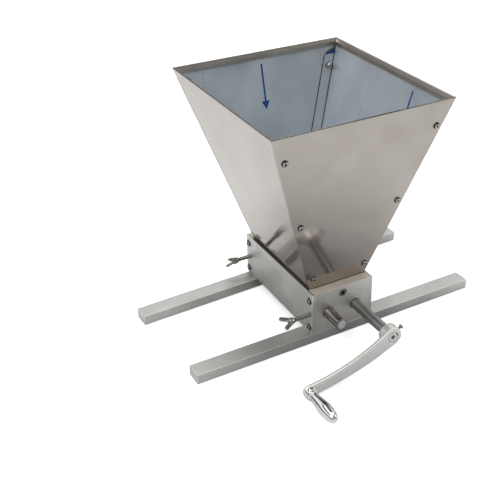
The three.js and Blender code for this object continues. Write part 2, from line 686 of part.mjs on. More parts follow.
const mill = new THREE.Group();
for (const rail of rails) mill.add(railGroup(rail));
mill.add(
  piece('front_end_plate', 'plate', endPlateSolid(-1)),
  piece('rear_end_plate', 'plate', endPlateSolid(1)),
  piece('left_side_plate', 'plate', sidePlateSolid(-1)),
  piece('right_side_plate', 'plate', sidePlateSolid(1)),
  ...sideScrews(),
  ...tabScrews(),
  piece('front_drive_bush', 'bronze', driveBushSolid(-1)),
  piece('rear_drive_bush', 'bronze', driveBushSolid(1)),
  piece('front_eccentric_bush', 'stub', eccentricBushSolid(-1)),
  piece('rear_eccentric_bush', 'stub', eccentricBushSolid(1)),
  piece('drive_roller', 'roller', driveRollerSolid()),
  piece('idler_roller', 'roller', idlerRollerSolid()),
  ...wingBoltPieces(),
  ...hopperPanels(),
  ...hopperFasteners(),
  ...crankPieces(),
);

// The origin goes to the bottom centre of the whole object: the rails set its X extent, and the
// grip's nose and the hopper's rear rim set its Y extent.
const rearRailReach = (railLength * Math.cos(rearRailSkew) + railWidth * Math.sin(rearRailSkew)) / 2;
const leftEnd = rearRailShift - rearRailReach;
const rightEnd = frontRailShift + railLength / 2;
mill.position.set(-(leftEnd + rightEnd) / 2, (gripFront - hopperRim.halfY) / 2, 0);

const object = new THREE.Group();
object.add(mill);

export default object;
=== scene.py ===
"""Visual model of a hand-cranked two-roller grain mill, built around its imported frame.

Every shape is worked out in millimetres about the foot of the roller box's centre, with +X along the
rails, the crank at the -Y end and +Z up, and is moved to the frame's metres when it is published.
"""

import sys

import json
import logging
import math
from collections.abc import Callable, Iterable, Sequence
from dataclasses import dataclass, field
from enum import Enum
from functools import cache
from typing import Any

import bmesh
import bpy
from mathutils import Matrix, Vector, noise

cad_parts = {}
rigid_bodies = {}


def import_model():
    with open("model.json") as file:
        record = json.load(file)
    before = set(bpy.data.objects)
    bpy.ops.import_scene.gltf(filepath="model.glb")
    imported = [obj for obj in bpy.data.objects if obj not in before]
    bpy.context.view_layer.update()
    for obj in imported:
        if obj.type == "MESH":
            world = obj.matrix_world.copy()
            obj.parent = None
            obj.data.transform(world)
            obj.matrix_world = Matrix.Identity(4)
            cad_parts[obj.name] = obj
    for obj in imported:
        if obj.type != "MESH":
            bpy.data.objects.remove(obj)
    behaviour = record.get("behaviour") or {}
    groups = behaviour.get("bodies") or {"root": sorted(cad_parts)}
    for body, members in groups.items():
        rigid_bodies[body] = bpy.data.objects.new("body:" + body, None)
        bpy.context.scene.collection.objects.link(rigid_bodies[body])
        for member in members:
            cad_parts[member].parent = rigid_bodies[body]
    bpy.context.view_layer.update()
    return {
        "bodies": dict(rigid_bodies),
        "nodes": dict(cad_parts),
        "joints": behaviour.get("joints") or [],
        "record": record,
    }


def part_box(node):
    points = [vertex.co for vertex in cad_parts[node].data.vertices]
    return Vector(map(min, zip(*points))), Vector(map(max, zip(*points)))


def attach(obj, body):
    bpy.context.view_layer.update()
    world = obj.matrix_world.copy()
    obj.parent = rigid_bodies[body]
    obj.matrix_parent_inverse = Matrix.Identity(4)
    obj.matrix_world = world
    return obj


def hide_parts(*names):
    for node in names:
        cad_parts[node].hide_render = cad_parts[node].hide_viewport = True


log = logging.getLogger("grain_mill")

MM = 0.001
POLE = 1e-6  # a radius below this lies on the axis
# Faces with this mark get a near-black material as painted shade: inside screw sockets and round the rim of
# domed heads.
PAINTED_SHADE_MARK = "recess"  # the attribute that is 1 inside a screw's socket
# Rounded edges with this mark take their own colour: paler wear on most metals, painted shade on the
# stainless sheet.
EDGE_MARK = "rubbed_edge"  # the attribute that is 1 on a piece's rounded edges
NARROW = 0.35  # faces narrower than this many millimetres are rounded edges
BROAD, BROAD_AREA = 3.0, 60.0  # faces wider and larger than this are flat
Point = tuple[float, float]


# ---------------------------------------------------------------- frame


@dataclass(frozen=True)
class Datum:
    """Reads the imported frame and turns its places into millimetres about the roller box's foot.

    Args:
        centre: the foot of the roller box's centre, in the frame's metres.
        joints: the frame's joint rows by name.
    """

    centre: Vector
    joints: dict[str, dict[str, Any]]

    @classmethod
    def of(cls, frame: dict[str, Any]) -> "Datum":
        """Finds the roller box in the frame.


        Returns:
            The datum at the middle of the box's four plates.
        """
        left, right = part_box("left_side_plate"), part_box("right_side_plate")
        front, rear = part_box("front_end_plate"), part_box("rear_end_plate")
        centre = Vector(((left[0].x + right[1].x) / 2, (front[0].y + rear[1].y) / 2, 0))
        return cls(centre, {joint["name"]: joint for joint in frame["joints"]})

    def box(self, node: str) -> tuple[Vector, Vector]:
        """The lowest and highest corner of a node in millimetres."""
        low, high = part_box(node)
        return (low - self.centre) / MM, (high - self.centre) / MM

    def axis(self, joint: str) -> Vector:
        """A point on a joint's axis in millimetres."""
        return (Vector(self.joints[joint]["pos_m"]) - self.centre) / MM

    def to_frame(self) -> Matrix:
        """The matrix from working millimetres to the frame's metres."""
        return Matrix.Translation(self.centre) @ Matrix.Scale(MM, 4)


# ---------------------------------------------------------------- solids


class Solid:
    """A closed mesh in working millimetres, shaped step by step until it is published."""

    def __init__(self, shape: bmesh.types.BMesh, outward: bool = True) -> None:
        """Takes the shape over.

        Args:
            shape: the mesh, which is freed.
            outward: turn all faces outwards first.
        """
        if outward:
            bmesh.ops.recalc_face_normals(shape, faces=shape.faces[:])
        mesh = bpy.data.meshes.new("work")
        shape.to_mesh(mesh)
        shape.free()
        self.obj = bpy.data.objects.new("work", mesh)
        bpy.context.scene.collection.objects.link(self.obj)

    def apply(self) -> "Solid":
        """Makes the live modifiers part of the mesh."""
        graph = bpy.context.evaluated_depsgraph_get()
        made = bpy.data.meshes.new_from_object(self.obj.evaluated_get(graph), depsgraph=graph)
        self.obj.modifiers.clear()
        worn, self.obj.data = self.obj.data, made
        bpy.data.meshes.remove(worn)
        return self

    def discard(self) -> None:
        """Removes the solid from the scene."""
        bpy.data.objects.remove(self.obj)

    def _combine(self, operation: str, others: Iterable["Solid"]) -> "Solid":
        """Joins or cuts with other solids, which are used up.

        Args:
            operation: the boolean's name.
            others: the solids to use.

        Returns:
            This solid.
        """
        tools = list(others)
        for tool in tools:
            step = self.obj.modifiers.new("boolean", "BOOLEAN")
            step.operation = operation
            step.solver = "EXACT"
            step.object = tool.obj
        self.apply()
        for tool in tools:
            tool.discard()
        return self

    def cut(self, *tools: "Solid") -> "Solid":
        """Takes the tools' shapes away."""
        return self._combine("DIFFERENCE", tools)

    def keep_inside(self, *bounds: "Solid") -> "Solid":
        """Takes away what lies outside the bounds."""
        return self._combine("INTERSECT", bounds)

    def join(self, *others: "Solid") -> "Solid":
        """Makes one body of this and the other solids."""
        return self._combine("UNION", others)

    def gather(self, *others: "Solid") -> "Solid":
        """Adds other closed shapes beside this one's, without cutting them against each other."""
        shape = bmesh.new()
        shape.from_mesh(self.obj.data)
        for other in others:
            shape.from_mesh(other.obj.data)
            other.discard()
        shape.to_mesh(self.obj.data)
        shape.free()
        return self

    def bevel(self, width: float, segments: int = 2, angle: float = 35) -> "Solid":
        """Rounds the edges that are sharper than an angle.

        Args:
            width: the width of the rounding.
            segments: how many faces go round it.
            angle: the sharpest edge that stays, in degrees.

        Returns:
            This solid.
        """
        step = self.obj.modifiers.new("bevel", "BEVEL")
        step.width = width
        step.segments = segments
        step.limit_method = "ANGLE"
        step.angle_limit = math.radians(angle)
        return self.apply()

    def moved(self, matrix: Matrix) -> "Solid":
        """Moves, turns or mirrors the shape, faces outward all the same."""
        self.obj.data.transform(matrix)
        if matrix.determinant() < 0:
            self.obj.data.flip_normals()
        return self

    def shifted(self, x: float = 0, y: float = 0, z: float = 0) -> "Solid":
        """Moves the shape by a distance along each axis."""
        return self.moved(Matrix.Translation((x, y, z)))

    def turned(self, degrees: float, axis: str) -> "Solid":
        """Turns the shape about an axis through its origin."""
        return self.moved(Matrix.Rotation(math.radians(degrees), 4, axis))

    def reshape(self, rule: Callable[[Vector], Vector]) -> "Solid":
        """Puts every corner where a rule says."""
        for vertex in self.obj.data.vertices:
            vertex.co = rule(vertex.co)
        return self

    def mark_edges(self) -> list[int]:
        """Marks the narrow faces, which are the rounded edges, for the finish to give its edge colour: paler
        wear on most metals, painted shade on the stainless sheet.

        Returns:
            The broad faces, which stay flat when the rest is smoothed.
        """
        broad = []
        mesh = self.obj.data
        mark = mesh.attributes.new(EDGE_MARK, "FLOAT", "FACE")
        places = [vertex.co for vertex in mesh.vertices]
        for face in mesh.polygons:
            longest = max((places[a] - places[b]).length for a, b in face.edge_keys)
            mark.data[face.index].value = float(face.area < NARROW * longest)
            if face.area > BROAD_AREA and face.area > BROAD * longest:
                broad.append(face.index)
        return broad

    def mark_painted_shade(self, inside: Callable[[Vector], bool]) -> "Solid":
        """Marks the faces whose middle a rule picks for painted shade, such as those inside a screw's socket.
        """
        mark = self.obj.data.attributes.new(PAINTED_SHADE_MARK, "FLOAT", "FACE")
        for face in self.obj.data.polygons:
            mark.data[face.index].value = float(inside(face.center))
        return self

    def paint(self, index_of: Callable[[bpy.types.MeshPolygon], int]) -> "Solid":
        """Gives each face the material index that a rule says."""
        for face in self.obj.data.polygons:
            face.material_index = index_of(face)
        return self


def lathe(profile: Sequence[Point], sides: int = 64) -> Solid:
    """Turns a profile about +Y.

    Args:
        profile: (radius, distance along +Y) points that start and end on the axis.
        sides: how many faces go round.

    Returns:
        The turned solid.
    """
    shape = bmesh.new()
    rings = []
    for radius, along in profile:
        count = 1 if radius < POLE else sides
        angles = [2 * math.pi * i / sides for i in range(count)]
        rings.append([shape.verts.new((radius * math.cos(a), along, radius * math.sin(a))) for a in angles])
    for low, high in zip(rings, rings[1:]):
        for i in range(sides):
            j = i + 1
            corners = (low[i % len(low)], low[j % len(low)], high[j % len(high)], high[i % len(high)])
            face = list(dict.fromkeys(corners))
            if len(face) > 2:
                shape.faces.new(face)
    return Solid(shape)


def loft(low: Sequence[Vector], high: Sequence[Vector]) -> Solid:
    """Closes the space between two outlines of the same number of points.

    Args:
        low: one outline.
        high: the other, in the same order.

    Returns:
        The solid between them.
    """
    shape = bmesh.new()
    first = [shape.verts.new(point) for point in low]
    last = [shape.verts.new(point) for point in high]
    for i in range(len(first)):
        j = (i + 1) % len(first)
        shape.faces.new((first[i], first[j], last[j], last[i]))
    shape.faces.new(first)
    shape.faces.new(last[::-1])
    return Solid(shape)


def prism(outline: Sequence[Point], front: float, back: float) -> Solid:
    """A flat outline in X and Z, made solid from one Y to another."""
    return loft([Vector((x, front, z)) for x, z in outline], [Vector((x, back, z)) for x, z in outline])


def block(low: Sequence[float], high: Sequence[float]) -> Solid:
    """A square-edged block between two corners."""
    (x0, y0, z0), (x1, y1, z1) = low, high
    return prism([(x0, z0), (x1, z0), (x1, z1), (x0, z1)], y0, y1)


def arc(centre: Point, radius: float, start: float, end: float, steps: int) -> list[Point]:
    """Points on a round stretch of an outline.

    Args:
        centre: the middle of the circle.
        radius: its radius.
        start: the first point's angle in degrees.
        end: the last point's angle in degrees.
        steps: how many lengths the stretch has.

    Returns:
        The points, the ends included.
    """
    angles = [math.radians(start + (end - start) * i / steps) for i in range(steps + 1)]
    return [(centre[0] + radius * math.cos(a), centre[1] + radius * math.sin(a)) for a in angles]


def flowing(profile: Sequence[Point], steps: int = 5) -> list[Point]:
    """A smooth line through the points of a profile.

    Args:
        profile: the points to pass through.
        steps: how many lengths each stretch gets.

    Returns:
        The finer profile.
    """
    ends = [profile[0], *profile, profile[-1]]
    fine = []
    for p0, p1, p2, p3 in zip(ends, ends[1:], ends[2:], ends[3:]):
        for i in range(steps):
            t = i / steps
            weights = (
                -0.5 * t + t * t - 0.5 * t**3,
                1 - 2.5 * t * t + 1.5 * t**3,
                0.5 * t + 2 * t * t - 1.5 * t**3,
                -0.5 * t * t + 0.5 * t**3,
            )
            sums = [sum(w * p[k] for w, p in zip(weights, (p0, p1, p2, p3))) for k in (0, 1)]
            fine.append((max(sums[0], 0.0), sums[1]))
    return [*fine, profile[-1]]


def edged_bar(radius: float, start: float, end: float, chamfer: float, sides: int = 64) -> Solid:
    """A round bar along +Y with its two end edges chamfered."""
    profile = [(0, start), (radius - chamfer, start), (radius, start + chamfer)]
    profile += [(radius, end - chamfer), (radius - chamfer, end), (0, end)]
    return lathe(profile, sides)


def drill(radius: float, deep: float, face: float, rim: float = 0.25, sides: int = 64) -> Solid:
    """A tool along +Y that cuts a round hole and breaks its edge.

    Args:
        radius: the hole's radius.
        deep: where the hole ends.
        face: the face it opens in.
        rim: the width of the broken edge.
        sides: how many faces go round.

    Returns:
        The tool.
    """
    out = math.copysign(1, face - deep)
    profile = [(0, deep), (radius, deep), (radius, face - out * rim)]
    return lathe([*profile, (radius + rim + 1, face + out), (0, face + out)], sides)


# ---------------------------------------------------------------- node trees


class GeometryTree:
    """A Geometry Nodes tree with named inputs, written in the script and run on a host mesh."""

    def __init__(self, name: str, **inputs: str) -> None:
        """Starts the tree.

        Args:
            name: the tree's name.
            inputs: the socket type of each named input.
        """
        self.tree = bpy.data.node_groups.new(name, "GeometryNodeTree")
        face = self.tree.interface
        face.new_socket("Geometry", in_out="INPUT", socket_type="NodeSocketGeometry")
        face.new_socket("Geometry", in_out="OUTPUT", socket_type="NodeSocketGeometry")
        self.sockets = {
            key: face.new_socket(key, in_out="INPUT", socket_type=kind).identifier
            for key, kind in inputs.items()
        }
        self.source = self.tree.nodes.new("NodeGroupInput")
        self.sink = self.tree.nodes.new("NodeGroupOutput")

    def value(self, name: str) -> bpy.types.NodeSocket:
        """The output that carries a named input."""
        return self.source.outputs[name]

    def node(self, kind: str, links: dict[str | int, Any], **settings: Any) -> bpy.types.Node:
        """Adds a node.

        Args:
            kind: the node's type without its common prefix.
            links: what goes into each of its inputs, a socket or a constant.
            settings: the node's own options.

        Returns:
            The node.
        """
        made = self.tree.nodes.new(kind)
        for key, setting in settings.items():
            setattr(made, key, setting)
        for key, source in links.items():
            if isinstance(source, bpy.types.NodeSocket):
                self.tree.links.new(source, made.inputs[key])
            else:
                made.inputs[key].default_value = source
        return made

    def math(self, operation: str, *terms: Any) -> bpy.types.NodeSocket:
        """The result of a sum on sockets and numbers."""
        return self.node("ShaderNodeMath", dict(enumerate(terms)), operation=operation).outputs[0]

    def close(self, geometry: bpy.types.NodeSocket, with_painted_shade: bool = False) -> None:
        """Ends the tree in Realize Instances and Set Material.

        Args:
            geometry: what the tree has made.
            with_painted_shade: give the faces marked for painted shade their own near-black material.
        """
        real = self.node("GeometryNodeRealizeInstances", {"Geometry": geometry})
        links = {"Geometry": real.outputs[0], "Material": self.value("Finish")}
        done = self.node("GeometryNodeSetMaterial", links)
        if with_painted_shade:
            mark = self.node("GeometryNodeInputNamedAttribute", {"Name": PAINTED_SHADE_MARK}, data_type="FLOAT")
            deep = self.math("GREATER_THAN", mark.outputs[0], 0.5)
            links = {"Geometry": done.outputs[0], "Material": self.value("Recess"), "Selection": deep}
            done = self.node("GeometryNodeSetMaterial", links)
        self.tree.links.new(done.outputs[0], self.sink.inputs[0])

    def run(self, host: Solid, **values: Any) -> Solid:
        """Runs the tree on a host mesh.

        Args:
            host: the mesh it works on, which becomes the result.
            values: the named inputs' values.

        Returns:
            The result as a plain mesh.
        """
        step = host.obj.modifiers.new("nodes", "NODES")
        step.node_group = self.tree
        for key, value in values.items():
            step[self.sockets[key]] = value
        return host.apply()


class GroovedBar:
    """A round bar along +Z with a helical thread, or with a diamond knurl of two crossed helices."""

    def __init__(self) -> None:
        """Builds the tree."""
        number, whole = "NodeSocketFloat", "NodeSocketInt"
        self.tree = GeometryTree(
            "grooved_bar", Radius=number, Length=number, Sides=whole, Rings=whole, Starts=number,
            Pitch=number, Depth=number, Crossed=number, Finish="NodeSocketMaterial",
        )
        tree, value = self.tree, self.tree.value
        bar = tree.node("GeometryNodeMeshCylinder", {
            "Vertices": value("Sides"), "Side Segments": value("Rings"),
            "Radius": value("Radius"), "Depth": value("Length"),
        })
        place = tree.node("GeometryNodeInputPosition", {})
        parts = tree.node("ShaderNodeSeparateXYZ", {0: place.outputs[0]})
        angle = tree.math("ARCTAN2", parts.outputs["Y"], parts.outputs["X"])
        turns = tree.math("MULTIPLY", tree.math("DIVIDE", angle, 2 * math.pi), value("Starts"))
        climb = tree.math("DIVIDE", parts.outputs["Z"], value("Pitch"))
        rising = self._ridge(tree.math("ADD", climb, turns))
        falling = self._ridge(tree.math("SUBTRACT", climb, turns))
        plain = tree.math("SUBTRACT", 1.0, value("Crossed"))
        height = tree.math("MINIMUM", rising, tree.math("MAXIMUM", falling, plain))
        sink = tree.math("MULTIPLY", tree.math("SUBTRACT", height, 1.0), value("Depth"))
        flat = tree.node("ShaderNodeCombineXYZ", {"X": parts.outputs["X"], "Y": parts.outputs["Y"]})
        radial = tree.node("ShaderNodeVectorMath", {0: flat.outputs[0]}, operation="NORMALIZE")
        push = tree.node("ShaderNodeVectorMath", {0: radial.outputs[0], "Scale": sink}, operation="SCALE")
        links = {"Geometry": bar.outputs["Mesh"], "Offset": push.outputs[0]}
        cut = tree.node("GeometryNodeSetPosition", links)
        tree.close(cut.outputs[0])

    def _ridge(self, phase: bpy.types.NodeSocket) -> bpy.types.NodeSocket:
        """A height that goes from a groove at whole phases to a ridge between them."""
        saw = self.tree.math("FRACT", phase)
        half = self.tree.math("ABSOLUTE", self.tree.math("SUBTRACT", saw, 0.5))
        return self.tree.math("SUBTRACT", 1.0, self.tree.math("MULTIPLY", half, 2.0))

    def thread(self, radius: float, start: float, end: float, pitch: float) -> Solid:
        """A threaded length along +Z.

        Args:
            radius: the thread's outer radius.
            start: its lower end.
            end: its upper end.
            pitch: the height of one turn.

        Returns:
            The threaded bar.
        """
        length, sides, rings_per_turn, depth = end - start, 20, 6, 0.55 * pitch
        values = {"Radius": radius, "Length": length, "Sides": sides, "Pitch": pitch, "Depth": depth}
        values |= {"Rings": round(length / pitch * rings_per_turn), "Starts": 1.0, "Crossed": 0.0}
        values["Finish"] = BRIGHT.material()
        return self.tree.run(empty_host(), **values).shifted(z=(start + end) / 2)

    def knurl(self, radius: float, length: float, around: int) -> Solid:
        """A roller's knurled face along +Z, with its middle at the origin.

        Args:
            radius: the radius over the ridges.
            length: its length.
            around: how many ridges go round it.

        Returns:
            The knurled bar.
        """
        pitch = 2 * math.pi * radius / around
        per_ridge = 4
        values = {"Radius": radius, "Length": length, "Sides": around * per_ridge}
        values |= {"Rings": round(length / pitch * per_ridge), "Starts": float(around), "Pitch": pitch}
        values |= {"Depth": 0.3 * pitch, "Crossed": 1.0, "Finish": KNURLED.material()}
        return self.tree.run(empty_host(), **values)


class Seats:
    """Sets copies of one fastener on points, each along the point's own direction and turned at random."""

    def __init__(self) -> None:
        """Builds the tree."""
        self.tree = GeometryTree(
            "seated_fasteners", Fastener="NodeSocketObject", Spin="NodeSocketFloat", Seed="NodeSocketInt",
            Finish="NodeSocketMaterial", Recess="NodeSocketMaterial",
        )
        tree, value = self.tree, self.tree.value
        shape = tree.node("GeometryNodeObjectInfo", {"Object": value("Fastener")}, transform_space="ORIGINAL")
        facing = tree.node("GeometryNodeInputNamedAttribute", {"Name": "facing"}, data_type="FLOAT_VECTOR")
        aim = tree.node("FunctionNodeAlignRotationToVector", {"Vector": facing.outputs[0]}, axis="Z")
        copies = tree.node("GeometryNodeInstanceOnPoints", {
            "Points": value("Geometry"), "Instance": shape.outputs["Geometry"], "Rotation": aim.outputs[0],
        })
        spin = tree.node("FunctionNodeRandomValue", {"Seed": value("Seed")}, data_type="FLOAT")
        tree.tree.links.new(value("Spin"), spin.inputs[3])
        about = tree.node("ShaderNodeCombineXYZ", {"Z": spin.outputs[1]})
        turned = tree.node("GeometryNodeRotateInstances", {
            "Instances": copies.outputs[0], "Rotation": about.outputs[0],
        })
        tree.close(turned.outputs[0], with_painted_shade=True)

    def fill(self, spots: Sequence[tuple[Vector, Vector]], fastener: Solid, seed: int) -> Solid:
        """Puts the fastener on every spot.

        Args:
            spots: each seat's place and the direction its head faces.
            fastener: the shape along +Z with its seat at the origin, which is used up.
            seed: fixes the random turns.

        Returns:
            All the copies in one mesh.
        """
        host = empty_host([place for place, _ in spots])
        facing = host.obj.data.attributes.new("facing", "FLOAT_VECTOR", "POINT")
        facing.data.foreach_set("vector", [part for _, way in spots for part in way])
        # The second material is near-black painted shade on the marked faces.
        finishes = {"Finish": BRIGHT.material(), "Recess": PAINTED_SHADE.material()}
        made = self.tree.run(host, Fastener=fastener.obj, Spin=2 * math.pi, Seed=seed, **finishes)
        fastener.discard()
        return made


class DottedLine:
    """A straight row of small flat dashes that lie on a surface."""

    def __init__(self) -> None:
        """Builds the tree."""
        vector, number = "NodeSocketVector", "NodeSocketFloat"
        self.tree = GeometryTree(
            "dotted_line", Start=vector, End=vector, Facing=vector, Gap=number, Dash="NodeSocketObject",
            Finish="NodeSocketMaterial",
        )
        tree, value = self.tree, self.tree.value
        line = tree.node("GeometryNodeCurvePrimitiveLine", {"Start": value("Start"), "End": value("End")})
        spots = tree.node("GeometryNodeCurveToPoints", {0: line.outputs[0]}, mode="LENGTH")
        tree.tree.links.new(value("Gap"), spots.inputs["Length"])
        shape = tree.node("GeometryNodeObjectInfo", {"Object": value("Dash")}, transform_space="ORIGINAL")
        upright = tree.node("FunctionNodeAlignRotationToVector", {"Vector": value("Facing")}, axis="Z")
        copies = tree.node("GeometryNodeInstanceOnPoints", {
            "Points": spots.outputs["Points"], "Instance": shape.outputs["Geometry"],
            "Rotation": upright.outputs[0],
        })
        tree.close(copies.outputs[0])

    def draw(
        self, start: Vector, end: Vector, facing: Vector, gap: float, finish: bpy.types.Material
    ) -> Solid:
        """Draws one line of dashes.

        Args:
            start: where it starts.
            end: where it ends.
            facing: the direction the surface faces.
            gap: the distance from dash to dash.
            finish: the ink.

        Returns:
            The dashes in one mesh.
        """
        dash = lathe([(0, 0), (0.55, 0), (0.55, 0.03), (0, 0.03)], 10).turned(90, "X")
        values = {"Start": start, "End": end, "Facing": facing, "Gap": gap, "Finish": finish}
        made = self.tree.run(empty_host(), Dash=dash.obj, **values)
        dash.discard()
        return made


def empty_host(points: Sequence[Vector] = ()) -> Solid:
    """A mesh of loose points for a node tree to work on."""
    shape = bmesh.new()
    for point in points:
        shape.verts.new(point)
    return Solid(shape, outward=False)


# ---------------------------------------------------------------- finishes


class Grain(Enum):
    """The way a metal's fine working marks run, as their stretch along X, Y and Z."""

    ALONG_X = (1.0, 60.0, 60.0)
    ALONG_Y = (60.0, 1.0, 60.0)
    ROLLED = (9.0, 60.0, 60.0)
    NONE = (60.0, 60.0, 60.0)


class Ink:
    """Adds and links the nodes of one material."""

    def __init__(self, name: str) -> None:
        """Starts an empty material with its output and shader.

        Args:
            name: the material's name.
        """
        self.material = bpy.data.materials.new(name)
        self.material.use_nodes = True
        self.nodes = self.material.node_tree.nodes
        self.links = self.material.node_tree.links
        self.shader = self.nodes["Principled BSDF"]
        self.place = self.nodes.new("ShaderNodeTexCoord").outputs["Object"]

    def pattern(self, stretch: Sequence[float], scale: float, detail: float) -> bpy.types.NodeSocket:
        """A noise over the piece.

        Args:
            stretch: how finely it varies along X, Y and Z, in relation to each other.
            scale: its fineness per metre.
            detail: how many finer layers it has.

        Returns:
            The noise's value from 0 to 1.
        """
        shaped = self.nodes.new("ShaderNodeMapping")
        shaped.inputs["Scale"].default_value = stretch
        self.links.new(self.place, shaped.inputs["Vector"])
        made = self.nodes.new("ShaderNodeTexNoise")
        made.inputs["Scale"].default_value = scale
        made.inputs["Detail"].default_value = detail
        self.links.new(shaped.outputs[0], made.inputs["Vector"])
        return made.outputs["Fac"]

    def span(self, value: bpy.types.NodeSocket, low: float, high: float) -> bpy.types.NodeSocket:
        """A value that ran over the middle of 0 to 1, spread from low to high."""
        made = self.nodes.new("ShaderNodeMapRange")
        for key, bound in {"From Min": 0.3, "From Max": 0.7, "To Min": low, "To Max": high}.items():
            made.inputs[key].default_value = bound
        self.links.new(value, made.inputs["Value"])
        return made.outputs[0]

    def blend(self, factor: bpy.types.NodeSocket, first: Any, second: Any) -> bpy.types.NodeSocket:
        """A mix of two colours by a factor; each may be another mix."""
        made = self.nodes.new("ShaderNodeMix")
        made.data_type = "RGBA"
        self.links.new(factor, made.inputs[0])
        for slot, colour in ((6, first), (7, second)):
            if isinstance(colour, bpy.types.NodeSocket):
                self.links.new(colour, made.inputs[slot])
            else:
                made.inputs[slot].default_value = (*colour, 1)
        return made.outputs[2]

    def math(self, operation: str, *terms: Any) -> bpy.types.NodeSocket:
        """The result of a sum on sockets and numbers."""
        made = self.nodes.new("ShaderNodeMath")
        made.operation = operation
        for slot, term in zip(made.inputs, terms):
            if isinstance(term, bpy.types.NodeSocket):
                self.links.new(term, slot)
            else:
                slot.default_value = term
        return made.outputs[0]

    def feed(self, **sources: bpy.types.NodeSocket) -> None:
        """Links sockets to the shader's inputs, named with an underscore for each space."""
        for name, source in sources.items():
            self.links.new(source, self.shader.inputs[name.replace("_", " ")])

    def relief(self, height: bpy.types.NodeSocket, depth: float, under: Any = None) -> bpy.types.NodeSocket:
        """A bump of a depth in metres, over an earlier one."""
        made = self.nodes.new("ShaderNodeBump")
        made.inputs["Distance"].default_value = depth
        self.links.new(height, made.inputs["Height"])
        if under is not None:
            self.links.new(under, made.inputs["Normal"])
        return made.outputs[0]

    def edge(self) -> bpy.types.NodeSocket:
        """The mark that a piece's rounded edges carry, from 0 to 1."""
        made = self.nodes.new("ShaderNodeAttribute")
        made.attribute_name = EDGE_MARK
        return made.outputs["Fac"]


@dataclass(frozen=True)
class Metal:
    """A bare metal: its colour with a slight cast in clouds, fine working marks, and edges in a colour of
    their own, which is wear where it is pale and painted shade where it is dark.

    Args:
        name: the material's name.
        colour: the metal's own colour.
        cast: the colour that it drifts to in clouds.
        roughness: the smoothest and the roughest it gets.
        grain: the way its working marks run.
        marks: how finely the marks vary, per metre.
        depth: the marks' depth in metres.
        wear_and_shade: the colour of its edges and streaks; a pale one is wear, a dark one is painted shade.
        metallic: how far it mirrors rather than scatters.
    """

    name: str
    colour: tuple[float, float, float]
    cast: tuple[float, float, float]
    roughness: tuple[float, float] = (0.3, 0.4)
    grain: Grain = Grain.NONE
    marks: float = 40.0
    depth: float = 4e-6
    wear_and_shade: tuple[float, float, float] = (0.8, 0.8, 0.79)
    metallic: float = 1.0

    @cache
    def material(self) -> bpy.types.Material:
        """Builds the material once."""
        ink = Ink(self.name)
        clouds = ink.pattern((1, 1, 1), 22, 4)
        lines = ink.pattern(self.grain.value, self.marks, 3)
        body = ink.blend(ink.span(clouds, 0, 1), self.colour, self.cast)
        streaked = ink.blend(ink.span(lines, 0, 0.16), body, self.wear_and_shade)
        # The edge colour is wear where it is pale and painted shade where it is dark, as on the stainless
        # sheet.
        worn = ink.blend(ink.edge(), streaked, self.wear_and_shade)
        mixed = ink.math("MULTIPLY_ADD", lines, 0.5, ink.math("MULTIPLY", clouds, 0.5))
        rough, bumps = ink.span(mixed, *self.roughness), ink.relief(lines, self.depth)
        ink.feed(Base_Color=worn, Roughness=rough, Normal=bumps)
        ink.shader.inputs["Metallic"].default_value = self.metallic
        return ink.material


@dataclass(frozen=True)
class Film:
    """Thin glossy protective film on steel, which shows the metal through a pale blue cast.

    Args:
        name: the material's name.
        colour: the film's colour.
        blister: the paler colour where it has lifted.
    """

    name: str = "protective_film"
    colour: tuple[float, float, float] = (0.50, 0.545, 0.58)
    blister: tuple[float, float, float] = (0.59, 0.635, 0.665)

    def material(self) -> bpy.types.Material:
        """Builds the material."""
        ink = Ink(self.name)
        patches = ink.pattern((1, 1, 0.6), 30, 5)
        wrinkles = ink.pattern((1, 1, 0.35), 160, 3)
        tint = ink.blend(ink.span(patches, 0, 1), self.colour, self.blister)
        bumps = ink.relief(wrinkles, 8e-6, ink.relief(patches, 6e-5))
        ink.feed(Base_Color=tint, Roughness=ink.span(patches, 0.32, 0.44), Normal=bumps)
        ink.shader.inputs["Metallic"].default_value = 0.5
        ink.shader.inputs["Coat Weight"].default_value = 0.4
        ink.shader.inputs["Coat Roughness"].default_value = 0.22
        return ink.material


DARK_FILM = Film("dark_blue_film", (0.004, 0.05, 0.16), (0.015, 0.10, 0.27))


@dataclass(frozen=True)
class Print:
    """Blue ink printed on the film, a little uneven.

    Args:
        name: the material's name.
        colour: the ink's colour.
        thin: its colour where it is thin.
    """

    name: str
    colour: tuple[float, float, float] = (0.006, 0.05, 0.25)
    thin: tuple[float, float, float] = (0.03, 0.13, 0.4)

    def material(self) -> bpy.types.Material:
        """Builds the material."""
        ink = Ink(self.name)
        patches = ink.pattern((1, 1, 1), 600, 3)
        tint = ink.blend(ink.span(patches, 0, 0.7), self.colour, self.thin)
        ink.feed(Base_Color=tint, Roughness=ink.span(patches, 0.35, 0.5))
        return ink.material


RAIL = Metal(
    "drawn_aluminium", (0.64, 0.635, 0.62), (0.53, 0.525, 0.515), (0.4, 0.56),
    Grain.ALONG_X, 40, 8e-6,
)
# The end plates' top faces: their grain and roughness are the metal's own, and their warm pale colour is a
# painted reflection of the hopper above and painted light.
PLATE_TOP_REFLECTION = Metal("sawn_aluminium", (0.80, 0.735, 0.645), (0.70, 0.64, 0.555), (0.5, 0.7), Grain.ALONG_X, 40, 6e-6,
             (0.85, 0.8, 0.72), 0.4)
PLATE = Metal(
    "milled_aluminium", (0.74, 0.74, 0.715), (0.58, 0.575, 0.56), (0.42, 0.58),
    Grain.NONE, 30, 6e-6,
)
# The stainless sheet's and hem's dark edge colour is painted shade along their bends and edges.
SHEET = Metal(
    "brushed_stainless", (0.47, 0.44, 0.41), (0.42, 0.39, 0.36), (0.09, 0.15),
    Grain.ROLLED, 45, 5e-8, (0.22, 0.205, 0.19),
)
